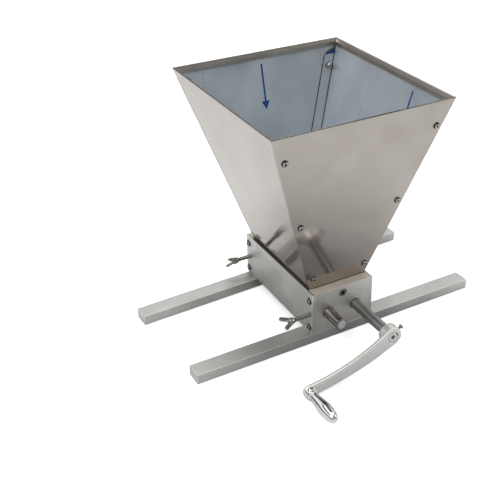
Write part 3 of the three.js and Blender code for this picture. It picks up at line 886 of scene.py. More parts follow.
# The sheet's inward faces near the rim: rougher, and painted paler than the rest of the sheet as painted
# light on the inner strip.
HEM = Metal(
    "rubbed_stainless", (0.62, 0.58, 0.53), (0.50, 0.465, 0.43), (0.26, 0.36),
    Grain.ALONG_X, 40, 5e-7, (0.22, 0.205, 0.19),
)
GROUND = Metal(
    "ground_steel", (0.90, 0.85, 0.78), (0.80, 0.75, 0.68), (0.05, 0.12),
    Grain.ALONG_Y, 60, 1.5e-7,
)
STUB = Metal(
    "dark_turned_steel", (0.36, 0.32, 0.315), (0.27, 0.24, 0.235), (0.16, 0.28),
    Grain.ALONG_Y, 50, 8e-7, (0.36, 0.33, 0.33),
)
STUB_FACE = Metal(
    "stub_end_face", (0.27, 0.255, 0.25), (0.21, 0.2, 0.195), (0.34, 0.45),
    Grain.NONE, 50, 3e-6,
)
KNURLED = Metal("knurled_steel", (0.40, 0.395, 0.39), (0.32, 0.315, 0.31), (0.3, 0.45), Grain.NONE, 60, 3e-6)
BRONZE = Metal("sintered_bronze", (0.42, 0.27, 0.12), (0.34, 0.21, 0.09), (0.38, 0.5), Grain.NONE, 90, 8e-6,
               (0.6, 0.42, 0.22))
ARM_FACE = Metal(
    "satin_cast_aluminium", (0.80, 0.80, 0.80), (0.74, 0.74, 0.745), (0.36, 0.46),
    Grain.NONE, 60, 6e-6,
)
# The arm's rounded edges are polished, and their pale cream, half-diffuse colour is a painted highlight along
# them.
ARM_EDGE_HIGHLIGHT = Metal(
    "polished_cast_aluminium", (0.94, 0.93, 0.88), (0.86, 0.85, 0.80), (0.2, 0.3),
    Grain.NONE, 30, 3e-7, metallic=0.5,
)
CHROME = Metal("chrome_plate", (0.88, 0.89, 0.89), (0.84, 0.85, 0.86), (0.02, 0.05), Grain.NONE, 10, 2e-8)
BRIGHT = Metal(
    "bright_fasteners", (0.50, 0.485, 0.46), (0.34, 0.33, 0.31), (0.08, 0.16),
    Grain.NONE, 80, 1.5e-7, (0.45, 0.44, 0.42),
)
# Dark paint on the wing bolts' threads: painted shade in the thread's grooves.
THREAD_SHADED = Metal(
    "thread_steel", (0.26, 0.25, 0.235), (0.16, 0.155, 0.145), (0.16, 0.26),
    Grain.NONE, 80, 1.5e-7, (0.3, 0.29, 0.27),
)
# Near-black painted shade for screw sockets and the rims of domed heads, not a metal of its own.
PAINTED_SHADE = Metal("dark_socket", (0.05, 0.048, 0.045), (0.03, 0.029, 0.028), (0.35, 0.5), Grain.NONE, 80, 4e-6,
               (0.06, 0.058, 0.055))


# ---------------------------------------------------------------- publishing


@dataclass(frozen=True)
class Publisher:
    """Turns a finished solid into a named piece that rides on the frame.

    Args:
        datum: where the working millimetres are in the frame.
    """

    datum: Datum

    def piece(
        self,
        name: str,
        solid: Solid,
        body: str,
        slot: str,
        finishes: Sequence[Any] = (),
        nodes: Iterable[str] = (),
        angle: float = 32,
    ) -> bpy.types.Object:
        """Publishes one piece.

        Args:
            name: the piece's name.
            solid: its shape.
            body: the body that carries it.
            slot: the record's slot for its finish; not used.
            finishes: the finishes of its material indices, unless its faces have them already.
            nodes: the frame's nodes that it stands for.
            angle: edges sharper than this many degrees stay sharp.

        Returns:
            The piece's object.
        """
        broad = solid.mark_edges()
        obj = solid.moved(self.datum.to_frame()).obj
        obj.name = name
        obj.data.name = name
        if finishes:
            last = len(finishes) - 1
            painted = [min(face.material_index, last) for face in obj.data.polygons]
            obj.data.materials.clear()
            for finish in finishes:
                obj.data.materials.append(finish.material())
            obj.data.polygons.foreach_set("material_index", painted)
        obj.data.shade_smooth()
        obj.data.set_sharp_from_angle(angle=math.radians(angle))
        for index in broad:
            obj.data.polygons[index].use_smooth = False
        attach(obj, body)
        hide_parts(*nodes)
        log.info("%s: %d faces on %s", name, len(obj.data.polygons), body)
        return obj


@dataclass(frozen=True)
class Kit:
    """What every sub-assembly works with.

    Args:
        datum: the frame in working millimetres.
        publish: makes the pieces.
        bars: makes threads and knurls.
        seats: sets fasteners on their seats.
        dots: draws dotted lines.
    """

    datum: Datum
    publish: Publisher
    bars: GroovedBar = field(default_factory=GroovedBar)
    seats: Seats = field(default_factory=Seats)
    dots: DottedLine = field(default_factory=DottedLine)


# ---------------------------------------------------------------- fasteners


@dataclass(frozen=True)
class ButtonScrew:
    """A domed screw with a hexagon socket, along +Z with its seat at the origin.

    Args:
        thread: the thread's radius.
        head: the head's radius.
        height: the head's height.
        length: how far the thread reaches below the seat.
        pitch: the height of a turn of the thread.
    """

    thread: float
    head: float
    height: float
    length: float
    pitch: float

    def solid(self, bars: GroovedBar) -> Solid:
        """The screw, threaded over its whole length.

        Args:
            bars: makes the thread.

        Returns:
            The screw along +Z.
        """
        rim = 0.18 * self.height
        crown = [(self.head * math.cos(a), rim + (self.height - rim) * math.sin(a))
                 for a in (math.radians(10 * step) for step in range(1, 9))]
        foot = [(0, 0), (self.head - 0.15, 0), (self.head, 0.15), (self.head, rim)]
        head = lathe([*foot, *crown, (0, self.height)], 40)
        hexagon, floor = 0.72 * self.thread, 0.3 * self.height
        socket = lathe([(0, floor), (hexagon, floor), (hexagon, self.height + 1), (0, self.height + 1)], 6)
        head.cut(socket).bevel(0.08, 1, 40)
        brow = 0.72 * self.head
        # Painted shade: the socket and the outer part of the dome are marked for the near-black material.
        head.mark_painted_shade(lambda at: at.y > floor - 0.1 and not hexagon < math.hypot(at.x, at.z) < brow)
        screw = head.turned(90, "X")
        return screw.gather(bars.thread(self.thread, -self.length, 0.1, self.pitch))


@dataclass(frozen=True)
class HexNut:
    """A hexagon nut along +Z with its seat at the origin.

    Args:
        flats: the width across its flats.
        height: its height.
        bore: the bore's radius.
    """

    flats: float
    height: float
    bore: float

    def solid(self) -> Solid:
        """The nut with its corners chamfered."""
        corner = self.flats / math.sqrt(3)
        nut = lathe([(0, 0), (corner, 0), (corner, self.height), (0, self.height)], 6)
        slope, flat, wide = 0.35 * 1.2, self.flats / 2 - 0.1, corner + 0.05
        profile = [(0, 0), (flat, 0), (wide, slope), (wide, self.height - slope), (flat, self.height)]
        nut.keep_inside(lathe([*profile, (0, self.height)], 48))
        return nut.cut(drill(self.bore, -1, self.height, 0.3, 32)).turned(90, "X")


# ---------------------------------------------------------------- rails


@dataclass
class Rails:
    """The two flat bars that lie across a bucket, and the countersunk screws up through them.

    Args:
        kit: what the pieces are made with.
        rear_skew: how far the rear bar is out of square, in degrees.
        edge: the rounding of the bars' edges.
        screw_x: the screws' distance from the box's middle along X.
        screw_y: their distance along Y.
        head: the radius of a screw's head.
        thread: the radius of its thread.
        sink: the depth of its cone.
    """

    kit: Kit
    rear_skew: float = 2.0
    edge: float = 0.45
    screw_x: float = 14.0
    screw_y: float = 69.5
    head: float = 4.0
    thread: float = 2.0
    sink: float = 2.3

    def build(self) -> None:
        """Builds both bars and their screws."""
        low, high = self.kit.datum.box("front_rail")
        half = (high - low) / 2
        for end, skew, side in (("front", 0.0, -1), ("rear", self.rear_skew, 1)):
            low, high = self.kit.datum.box(f"{end}_rail")
            middle = (low + high) / 2
            bar = block((-half.x, -half.y, -half.z), (half.x, half.y, half.z)).bevel(self.edge, 3)
            bar.turned(skew, "Z").shifted(middle.x, middle.y, middle.z)
            spots = [Vector((x, side * self.screw_y, low.z)) for x in (-self.screw_x, self.screw_x)]
            for spot in spots:
                bar.cut(self._countersink().shifted(spot.x, spot.y, spot.z))
            self.kit.publish.piece(f"{end}_rail_bar", bar, "frame", "rail_aluminium", [RAIL], [f"{end}_rail"])
            self._screws(end, spots)

    def _countersink(self) -> Solid:
        """The hole for one screw, from below the bar up through it."""
        wide = self.head + 0.35
        hole, top = self.thread + 0.2, 30
        profile = [(0, -1), (wide, -1), (wide, 0.15), (hole, self.sink + 0.3), (hole, top), (0, top)]
        return lathe(profile, 40).turned(90, "X")

    def _screws(self, end: str, spots: Sequence[Vector]) -> None:
        """Sets the screws of one bar.

        Args:
            end: front or rear.
            spots: where they stand on the underside.
        """
        below = 0.4
        profile = [(0, 0), (self.head, 0), (self.head, 0.25), (self.thread, self.sink), (0, self.sink)]
        head = lathe(profile, 40)
        socket = lathe([(0, -1), (1.45, -1), (1.45, 1.5), (0, 1.5)], 6)
        screw = head.cut(socket).turned(90, "X")
        screw.gather(self.kit.bars.thread(self.thread, self.sink - 0.2, 21, 0.7))
        screw.moved(Matrix.Rotation(math.pi, 4, "X"))
        seats = [(spot + Vector((0, 0, below)), Vector((0, 0, -1))) for spot in spots]
        made = self.kit.seats.fill(seats, screw, seed=7)
        nodes = [f"{end}_rail_screw_{i}" for i in (1, 2)]
        self.kit.publish.piece(f"{end}_rail_screws", made, "frame", "fastener_steel", (), nodes)


# ---------------------------------------------------------------- roller box


@dataclass
class RollerBox:
    """The four plates of the roller box with the screws that hold them and the hopper.

    Args:
        kit: what the pieces are made with.
        edge: the rounding of the plates' edges.
        shaft_hole: radius of the hole round the drive shaft.
        stub_hole: radius of the hole round an eccentric bush's stub.
        drive_seat: radius of the drive bush's seat.
        idler_seat: radius of the eccentric bush's seat.
        seat_depth: depth of both seats from the inside.
        screw: the side plates' screws.
        screw_y: their distance from the middle along Y.
        screw_heights: their heights.
        wing_y: the wing bolts' distance from the middle.
        wing_hole: radius of their holes.
        groove: width of the chamfer along a side plate's top, where the hopper goes in.
        tab_height: height of the hopper's screws.
        counterbore: radius and depth of their counterbores.
    """

    kit: Kit
    edge: float = 0.3
    shaft_hole: float = 6.5
    stub_hole: float = 7.0
    drive_seat: float = 8.55
    idler_seat: float = 10.1
    seat_depth: float = 9.0
    screw: ButtonScrew = ButtonScrew(2.5, 4.25, 2.5, 13.5, 0.8)
    screw_y: float = 71.5
    screw_heights: tuple[float, float] = (53.9, 19.2)
    wing_y: float = 71.0
    wing_hole: float = 2.75
    groove: float = 1.7
    tab_height: float = 54.9
    counterbore: Point = (5.0, 5.4)

    def build(self) -> None:
        """Builds the plates, then their screws."""
        self._end_plates()
        self._side_plates()
        self._side_screws()
        self._hopper_screws()

    def _end_plates(self) -> None:
        """The thick plates that carry the shafts."""
        drive, idler = self.kit.datum.axis("crank_turn"), self.kit.datum.axis("gap_adjust")
        for end, side in (("front", -1), ("rear", 1)):
            low, high = self.kit.datum.box(f"{end}_end_plate")
            inner, outer = (high.y, low.y) if side < 0 else (low.y, high.y)
            seat = inner + side * self.seat_depth
            plate = block(low, high).bevel(self.edge, 2)
            holes = ((drive, self.shaft_hole, self.drive_seat), (idler, self.stub_hole, self.idler_seat))
            for axis, bore, bush in holes:
                plate.cut(drill(bore, inner - side, outer, 0.2, 96).shifted(axis.x, 0, axis.z))
                plate.cut(drill(bush, seat, inner, 0.3, 96).shifted(axis.x, 0, axis.z))
            radius, depth = self.counterbore
            plate.cut(drill(2.75, inner - side, outer, 0.1, 40).shifted(z=self.tab_height))
            plate.cut(drill(radius, outer - side * (depth + 0.25), outer, 0.3).shifted(z=self.tab_height))
            # The top faces take the warm, pale tint that paints the hopper's reflection and light on them.
            plate.paint(lambda face: 1 if face.normal.z > 0.9 else 0)
            name, nodes = f"{end}_bearing_plate", [f"{end}_end_plate"]
            self.kit.publish.piece(name, plate, "frame", "plate_aluminium", [PLATE, PLATE_TOP_REFLECTION], nodes)

    def _side_plates(self) -> None:
        """The thin plates; the left one passes the wing bolts."""
        height = self.kit.datum.axis("front_wing_turn").z
        for face in ("left", "right"):
            low, high = self.kit.datum.box(f"{face}_side_plate")
            inner, inward = (high.x, 1) if face == "left" else (low.x, -1)
            groove = [(inner - inward * self.groove, high.z + 1), (inner - inward * self.groove, high.z)]
            groove += [(inner, high.z - self.groove), (inner + inward, high.z - self.groove)]
            groove += [(inner + inward, high.z + 1)]
            plate = block(low, high).cut(prism(groove, low.y - 1, high.y + 1)).bevel(self.edge, 2)
            if face == "left":
                for y in (-self.wing_y, self.wing_y):
                    hole = drill(self.wing_hole, -high.x - 2, -low.x, 0.25, 40).turned(90, "Z")
                    plate.cut(hole.shifted(0, y, height))
            nodes = [f"{face}_side_plate"]
            self.kit.publish.piece(f"{face}_cover_plate", plate, "frame", "plate_aluminium", [PLATE], nodes)

    def _side_screws(self) -> None:
        """The domed screws through the side plates, two at each corner of the box."""
        low, high = self.kit.datum.box("left_side_plate")[0], self.kit.datum.box("right_side_plate")[1]
        for face, x, way in (("left", low.x, -1), ("right", high.x, 1)):
            spots = [(Vector((x, y, z)), Vector((way, 0, 0)))
                     for y in (-self.screw_y, self.screw_y) for z in self.screw_heights]
            screw = self.screw.solid(self.kit.bars)
            made = self.kit.seats.fill(spots, screw, seed=3 + way)
            corners = [f"{end}_{level}" for end in ("front", "rear") for level in ("upper", "lower")]
            nodes = [f"{face}_{corner}_screw" for corner in corners]
            self.kit.publish.piece(f"{face}_plate_screws", made, "frame", "fastener_steel", (), nodes)

    def _hopper_screws(self) -> None:
        """The socket-head screws in the counterbores, which hold the hopper's tabs."""
        radius, height, reach, hexagon = 4.25, 5.0, 15.0, 2.3
        for end, side in (("front", -1), ("rear", 1)):
            face = self.kit.datum.box(f"{end}_hopper_screw")[0 if side < 0 else 1].y
            head = edged_bar(radius, -height, 0, 0.4)
            head.cut(lathe([(0, -2.6), (hexagon, -2.6), (hexagon, 1), (0, 1)], 6)).bevel(0.12, 2, 40)
            # Painted shade: the socket's faces are marked for the near-black material.
            head.mark_painted_shade(lambda at: math.hypot(at.x, at.z) < hexagon and at.y < -0.05)
            screw = head.turned(90, "X")
            screw.gather(self.kit.bars.thread(2.5, -height - reach, -height + 0.1, 0.8))
            seat = [(Vector((0, face, self.tab_height)), Vector((0, side, 0)))]
            made = self.kit.seats.fill(seat, screw, seed=11)
            name = f"{end}_hopper_screw"
            self.kit.publish.piece(f"{end}_socket_screw", made, "frame", "fastener_steel", (), [name])


# ---------------------------------------------------------------- rollers


@dataclass
class Rollers:
    """The two knurled rollers on their shafts, with the bushes that carry them.

    Args:
        kit: what the pieces are made with.
        radius: the rollers' radius over the knurl.
        half: half the rollers' length.
        ridges: how many ridges go round one.
        shaft: the drive shaft's radius.
        flat_depth: depth of the flat at its end.
        flat_turn: the way the flat faces, in degrees above +X.
        flat_start: where the flat starts, in front of the box's middle.
        centre_hole: radius and depth of the hole in its end.
        journal: the idler's journal radius.
        journal_reach: the journals' reach from the middle.
        eccentricity: the journal's distance from the bush's axis.
        stub: the radius of the eccentric bush's stub.
        stub_chamfer: the chamfer at its end.
    """

    kit: Kit
    radius: float = 17.0
    half: float = 63.5
    ridges: int = 48
    shaft: float = 6.0
    flat_depth: float = 1.2
    flat_turn: float = 22.0
    flat_start: float = 129.0
    centre_hole: Point = (2.4, 9.0)
    journal: float = 4.0
    journal_reach: float = 72.0
    eccentricity: float = 0.8
    stub: float = 6.5
    stub_chamfer: float = 1.3

    def build(self) -> None:
        """Builds both rollers and all four bushes."""
        self._drive_roller()
        self._idler_roller()
        self._drive_bushes()
        self._eccentric_bushes()

    def _knurled(self) -> Solid:
        """A roller's knurled body along Y."""
        return self.kit.bars.knurl(self.radius, 2 * self.half, self.ridges).turned(90, "X")

    def _drive_roller(self) -> None:
        """The driven roller with its long shaft, flat and centre hole."""
        axis = self.kit.datum.axis("crank_turn")
        low, high = self.kit.datum.box("drive_roller")
        shaft = edged_bar(self.shaft, low.y, high.y, 0.7, 96)
        top = self.shaft - self.flat_depth
        flat = block((top, low.y - 1, -self.shaft - 1), (self.shaft + 1, -self.flat_start, self.shaft + 1))
        radius, depth = self.centre_hole
        hole = drill(radius, low.y + depth, low.y, 0.5, 48)
        shaft.cut(flat.turned(-self.flat_turn, "Y"), hole).bevel(0.15, 2, 40)
        self._dress(shaft)
        roller = self._knurled().gather(shaft).shifted(axis.x, 0, axis.z)
        nodes = ["drive_roller"]
        self.kit.publish.piece("drive_roller_and_shaft", roller, "crank", "roller_steel", (), nodes)

    def _idler_roller(self) -> None:
        """The roller that the grain drags round, on its two journals."""
        axis = self.kit.datum.axis("idler_spin")
        journals = edged_bar(self.journal, -self.journal_reach, self.journal_reach, 0.5)
        self._dress(journals)
        roller = self._knurled().gather(journals).shifted(axis.x, 0, axis.z)
        nodes = ["idler_roller"]
        self.kit.publish.piece("idler_roller_and_journals", roller, "idler", "roller_steel", (), nodes)

    @staticmethod
    def _dress(shaft: Solid) -> None:
        """Puts a shaft's faces on the second slot, which is the knurl's once it joins its roller.

        The ground finish is lost in that joining and is not seen: a known fault.
        """
        shaft.obj.data.materials.clear()
        shaft.obj.data.materials.append(KNURLED.material())
        shaft.obj.data.materials.append(GROUND.material())
        shaft.paint(lambda face: 1)

    def _drive_bushes(self) -> None:
        """The plain bronze bushes of the drive shaft."""
        axis = self.kit.datum.axis("crank_turn")
        for end in ("front", "rear"):
            low, high = self.kit.datum.box(f"{end}_drive_bush")
            bush = edged_bar((high.x - low.x) / 2, low.y, high.y, 0.3)
            radius, start, end_y = self.shaft + 0.05, low.y - 1, high.y + 1
            bore = lathe([(0, start), (radius, start), (radius, end_y), (0, end_y)])
            bush.cut(bore).shifted(axis.x, 0, axis.z)
            nodes = [f"{end}_drive_bush"]
            self.kit.publish.piece(f"{end}_bronze_bush", bush, "frame", "bush_bronze", [BRONZE], nodes)

    def _eccentric_bushes(self) -> None:
        """The steel bushes that set the gap, each with a dark stub out through the end plate."""
        axis = self.kit.datum.axis("gap_adjust")
        for end, side in (("front", -1), ("rear", 1)):
            low, high = self.kit.datum.box(f"{end}_eccentric_bush")
            near, tip = sorted((abs(low.y), abs(high.y)))
            wide = (high.x - low.x) / 2
            far = near + 8.5
            profile = [(0, near), (wide - 0.3, near), (wide, near + 0.3), (wide, far - 0.3)]
            profile += [(wide - 0.3, far), (self.stub + 0.05, far), (self.stub, far + 0.1)]
            profile += [(self.stub, tip - self.stub_chamfer), (self.stub - self.stub_chamfer, tip), (0, tip)]
            bush = lathe(profile, 96)
            bore = drill(self.journal + 0.05, self.journal_reach + 0.6, near, 0.2)
            bush.cut(bore.shifted(z=self.eccentricity))
            bush.paint(lambda face, tip=tip: int(face.center.y > tip - 0.9 * self.stub_chamfer))
            if side < 0:
                bush.moved(Matrix.Scale(-1, 4, (0, 1, 0)))
            bush.shifted(axis.x, 0, axis.z)
            nodes = [f"{end}_eccentric_bush"]
            self.kit.publish.piece(
                f"{end}_gap_bush", bush, "gap_adjuster", "stub_steel", [STUB, STUB_FACE], nodes)


# ---------------------------------------------------------------- wing bolts


@dataclass
class WingBolts:
    """The two wing bolts that lock the eccentric bushes.

    Args:
        kit: what the pieces are made with.
        thread: the thread's radius.
        length: its length from the hub.
        hub: the hub's length, and its radius at the back and the front.
        spread: the wing tips' distance from the axis.
        back: the tips' reach behind the hub's middle.
        lobe: the radius of a wing's rounded end.
        thickness: a wing's thickness.
        turns: how far each bolt is turned, in degrees.
    """

    kit: Kit
    thread: float = 2.5
    length: float = 26.8
    hub: tuple[float, float, float] = (6.5, 4.3, 3.4)
    spread: float = 6.8
    back: float = 9.2
    lobe: float = 2.6
    thickness: float = 2.2
    turns: dict[str, float] = field(default_factory=lambda: {"front": 14.0, "rear": 117.0})

    def build(self) -> None:
        """Builds both bolts."""
        for end, turn in self.turns.items():
            name = f"{end}_wing_bolt"
            axis = self.kit.datum.axis(f"{end}_wing_turn")
            tip = self.kit.datum.box(name)[1].x
            bolt = self._bolt().turned(turn, "X").shifted(tip - self.length, axis.y, axis.z)
            piece, body, finishes = f"{end}_thumb_bolt", f"{end}_wing", [BRIGHT, THREAD_SHADED]
            self.kit.publish.piece(piece, bolt, body, "fastener_steel", finishes, [name], angle=40)

    def _bolt(self) -> Solid:
        """One bolt along X, its hub's front face at the origin and the thread towards +X."""
        long, back, front = self.hub
        end = [(0, -long), (back - 1.2, -long), (back - 0.3, -long + 0.5), (back, -long + 1.5)]
        profile = flowing(end, 3)
        profile += [(back - 0.1, -long + 3), (front, -0.3), (front - 0.3, 0), (0, 0)]
        hub = lathe(profile, 48)
        for side in (-1, 1):
            hub.join(self._wing(side))
        hub.bevel(0.25, 2, 40)
        hub.turned(-90, "Z")
        thread = self.kit.bars.thread(self.thread, -0.5, self.length, 0.8)
        # The thread, towards +X, takes the dark finish that paints shade into its grooves; the hub keeps the
        # bright one.
        return hub.gather(thread.turned(90, "Y")).paint(lambda face: 1 if face.center.x > 0 else 0)

    def _wing(self, side: int) -> Solid:
        """One wing: a flat link of two circles with its edges well rounded.

        Args:
            side: 1 or -1.

        Returns:
            The wing in the hub's own frame, before the hub lies along X.
        """
        root = Vector((1.6 * side, -self.hub[0] / 2))
        tip = Vector((self.spread * side, -self.hub[0] / 2 - self.back))
        heading = math.degrees(math.atan2(tip.y - root.y, tip.x - root.x))
        outline = arc(tip, self.lobe, heading - 90, heading + 90, 16)
        outline += arc(root, self.lobe, heading + 90, heading + 270, 10)
        wing = loft([Vector((x, y, -self.thickness / 2)) for x, y in outline],
                    [Vector((x, y, self.thickness / 2)) for x, y in outline])
        return wing.bevel(0.75, 3, 50)


# ---------------------------------------------------------------- hopper


@dataclass(frozen=True)
class Slopes:
    """The hopper's outside: an upside-down pyramid from the box to the rim.

    Args:
        base_z: the height of the bend above the box.
        base_x: half the width there.
        base_y: half the depth there.
        rim_z: the rim's height.
        rim_x: half the width at the rim.
        rim_y: half the depth at the rim.
    """

    base_z: float
    base_x: float
    base_y: float
    rim_z: float
    rim_x: float
    rim_y: float

    def rise_x(self) -> float:
        """How far the side panels lean out for each millimetre up."""
        return (self.rim_x - self.base_x) / (self.rim_z - self.base_z)

    def rise_y(self) -> float:
        """How far the front and rear panels lean out for each millimetre up."""
        return (self.rim_y - self.base_y) / (self.rim_z - self.base_z)

    def half_x(self, z: float) -> float:
        """Half the width at a height; the tabs below the bend are upright."""
        return self.base_x + self.rise_x() * max(z - self.base_z, 0)

    def half_y(self, z: float) -> float:
        """Half the depth at a height; the tabs below the bend are upright."""
        return self.base_y + self.rise_y() * max(z - self.base_z, 0)


@dataclass(frozen=True)
class Wall:
    """One panel seen from its outside: how far out it stands, how far it runs, and its turn about Z.

    Args:
        name: front, right, rear or left.
        turn: its turn from the front, in degrees.
        out: the outside's distance from the middle at a height.
        run: half its length at a height.
        rise: its lean outwards per millimetre up.
        joint: how far its ends stay short of the corner.
    """

    name: str
    turn: float
    out: Callable[[float], float]
    run: Callable[[float], float]
    rise: float
    joint: float

    def level(self) -> float:
        """The factor from a thickness square to the sheet to the same one measured level."""
        return math.hypot(1, self.rise)

    def point(self, along: float, inward: float, z: float) -> Vector:
        """A point in the front panel's place.

        Args:
            along: distance from the middle along the panel.
            inward: level distance inwards from its outside.
            z: the height.

        Returns:
            The point before the panel is turned to its side.
        """
        return Vector((along, inward - self.out(z), z))


@dataclass
class Hopper:
    """The sheet-metal hopper: hemmed panels bolted at the corners, with film left on the inside.

    Args:
        kit: what the pieces are made with.
        sheet: the sheet's thickness.
        base_z: the height of the bend above the box.
        base_x: half the outside width there.
        base_y: half the outside depth there.
        hem: how far the rim is folded down inside.
        end_tab: the front and rear tabs' half width and depth.
        side_tab_depth: the side tabs' depth.
        flange: the side panels' flanges' width.
        flange_gap: how far the flanges end below the rim.
        bend: the outer radius of the flanges' bends.
        air: the air between sheets that lie on each other.
        bolt: the corner bolts.
        nut: their nuts.
        bolt_inset: their distance from the slanting edge.
        levels: their places down the slope from the rim.
    """

    kit: Kit
    sheet: float = 1.0
    base_z: float = 64.3
    base_x: float = 36.2
    base_y: float = 65.2
    hem: float = 8.0
    end_tab: Point = (34.5, 16.0)
    side_tab_depth: float = 12.0
    flange: float = 14.0
    flange_gap: float = 11.0
    bend: float = 1.6
    air: float = 0.25
    bolt: ButtonScrew = ButtonScrew(2.0, 3.7, 2.3, 8.0, 0.7)
    nut: HexNut = HexNut(7.0, 3.2, 1.75)
    bolt_inset: float = 7.5
    levels: tuple[float, float, float] = (0.14, 0.55, 0.93)

    def __post_init__(self) -> None:
        """Takes the rim's size from the frame and lays the four walls out."""
        front_low, front_high = self.kit.datum.box("hopper_front_panel")
        rear_high = self.kit.datum.box("hopper_rear_panel")[1]
        self.slopes = Slopes(self.base_z, self.base_x, self.base_y, front_high.z,
                             (front_high.x - front_low.x) / 2, (rear_high.y - front_low.y) / 2)
        shape = self.slopes
        self.seam_cos = math.cos(math.atan(shape.rise_x() / math.hypot(1, shape.rise_y())))
        self.reach = self.flange / self.seam_cos
        self.drop = self.reach * math.tan(math.acos(self.seam_cos))
        behind = self.sheet * math.hypot(1, shape.rise_y()) + self.air
        end = (shape.half_y, shape.half_x, shape.rise_y(), 0.0)
        side = (shape.half_x, shape.half_y, shape.rise_x(), behind)
        turns = (("front", 0, end), ("right", 90, side), ("rear", 180, end), ("left", 270, side))
        self.walls = [Wall(name, turn, *facts) for name, turn, facts in turns]

    def build(self) -> None:
        """Builds the panels, their bolts and nuts, and the film."""
        for wall in self.walls:
            panel = self._end_panel(wall) if wall.joint == 0 else self._side_panel(wall)
            hem = self.slopes.rim_z - self.hem - 0.5
            panel.bevel(0.12, 2, 50)
            # Inward faces near the rim take the paler finish, which is painted light on the inner strip.
            panel.paint(lambda face, hem=hem: int(face.center.z > hem and face.normal.y > 0.2))
            panel.turned(wall.turn, "Z")
            nodes = [f"hopper_{wall.name}_panel"]
            name = f"hopper_{wall.name}_sheet"
            self.kit.publish.piece(name, panel, "frame", "stainless_sheet", [SHEET, HEM], nodes, angle=25)
        self._bolts()
        self._film()

    def _hemmed(self, wall: Wall, bottom: float) -> Solid:
        """A wall from a height up to its hem, rounded where it folds over inwards.

        Args:
            wall: the wall.
            bottom: its lower edge.

        Returns:
            The sheet in the front panel's place.
        """
        thick = self.sheet * wall.level()
        top = self.slopes.rim_z
        fold = arc((thick, top - self.sheet), thick, 180, 0, 10)
        section = [(0.0, bottom), *[(inward, top - self.sheet + (z - top + self.sheet) / wall.level())
                                    for inward, z in fold]]
        section += [(2.5 * thick, top - self.hem / 2), (2.1 * thick, top - self.hem)]
        section += [(thick, top - self.hem), (thick, bottom)]
        ends = []
        for side in (-1, 1):
            outline = []
            for inward, z in section:
                mitre = inward - thick + self.air if inward > thick + POLE else 0
                outline.append(wall.point(side * (wall.run(z) - wall.joint - mitre), inward, z))
            ends.append(outline)
        return loft(*ends)

    def _end_panel(self, wall: Wall) -> Solid:
        """The front or rear panel, which covers the side panels' edges, with its tab."""
        thick = self.sheet * wall.level()
        half, depth = self.end_tab
        tab = block((-half, -wall.out(self.base_z), self.base_z - depth),
                    (half, thick - wall.out(self.base_z), self.base_z + 0.5))
        hole = drill(2.0, -wall.out(0) - 1, -wall.out(0) + 3, 0.1, 32).shifted(z=self.base_z - 9.4)
        return self._hemmed(wall, self.base_z).join(tab.cut(hole))

    def _side_panel(self, wall: Wall) -> Solid:
        """The left or right panel, bent behind its neighbours into two flanges, with its tab."""
        thick = self.sheet * wall.level()
        level = self.slopes.rim_z - self.flange_gap
        reach, drop = self.reach, self.drop
        outer = arc((self.bend, self.bend), self.bend, 270, 180, 6)
        inner = arc((self.bend, self.bend), self.bend - self.sheet, 180, 270, 6)
        corner = [(x, y, 0.0) for x, y in outer] + [(0.0, reach, drop), (self.sheet, reach, drop)]
        corner += [(x, y, 0.0) for x, y in inner]
        outlines = []
        for z in (self.base_z, level):
            outline = []
            for side, steps in ((1, corner), (-1, corner[::-1])):
                for inset, inward, lower in steps:
                    height = z - (lower if z == level else 0)
                    along = side * (wall.run(height) - wall.joint - inset)
                    level_up = thick / self.sheet if inward < reach else 1
                    outline.append(wall.point(along, inward * level_up, height))
            outlines.append(outline)
        tab_half = wall.run(self.base_z) - 2 * wall.joint
        tab = block((-tab_half, -wall.out(self.base_z), self.base_z - self.side_tab_depth),
                    (tab_half, thick - wall.out(self.base_z), self.base_z + 0.5))
        return loft(*outlines).join(self._hemmed(wall, level - 0.5), tab)

    def _seats(self, depth: float) -> list[tuple[Vector, Vector]]:
        """The twelve bolt places at a depth below the outside, each with its outward direction."""
        lean = math.atan(self.slopes.rise_y())
        outward = Vector((0, -math.cos(lean), -math.sin(lean)))
        seats = []
        for turn in (0, math.pi):
            way = Matrix.Rotation(turn, 3, "Z")
            for side in (-1, 1):
                for part in self.levels:
                    z = self.slopes.rim_z - part * (self.slopes.rim_z - self.base_z)
                    x = side * (self.slopes.half_x(z) - self.bolt_inset / self.seam_cos)
                    spot = Vector((x, -self.slopes.half_y(z), z)) - outward * depth
                    seats.append((way @ spot, way @ outward))
        return seats

    def _bolts(self) -> None:
        """The corner bolts outside and their nuts inside."""
        corners = [f"{end}_{face}" for end in ("front", "rear") for face in ("left", "right")]
        places = [f"{corner}_{i}" for corner in corners for i in (1, 2, 3)]
        bolts = self.kit.seats.fill(self._seats(-0.02), self.bolt.solid(self.kit.bars), seed=5)
        nodes = [f"hopper_bolt_{place}" for place in places]
        self.kit.publish.piece("hopper_corner_bolts", bolts, "frame", "fastener_steel", (), nodes)
        seat = 2 * self.sheet + 2 * self.air
        inward = [(spot, -way) for spot, way in self._seats(seat)]
        nuts = self.kit.seats.fill(inward, self.nut.solid(), seed=9)
        nodes = [f"hopper_nut_{place}" for place in places]
        self.kit.publish.piece("hopper_corner_nuts", nuts, "frame", "fastener_steel", (), nodes)

    # -------- film

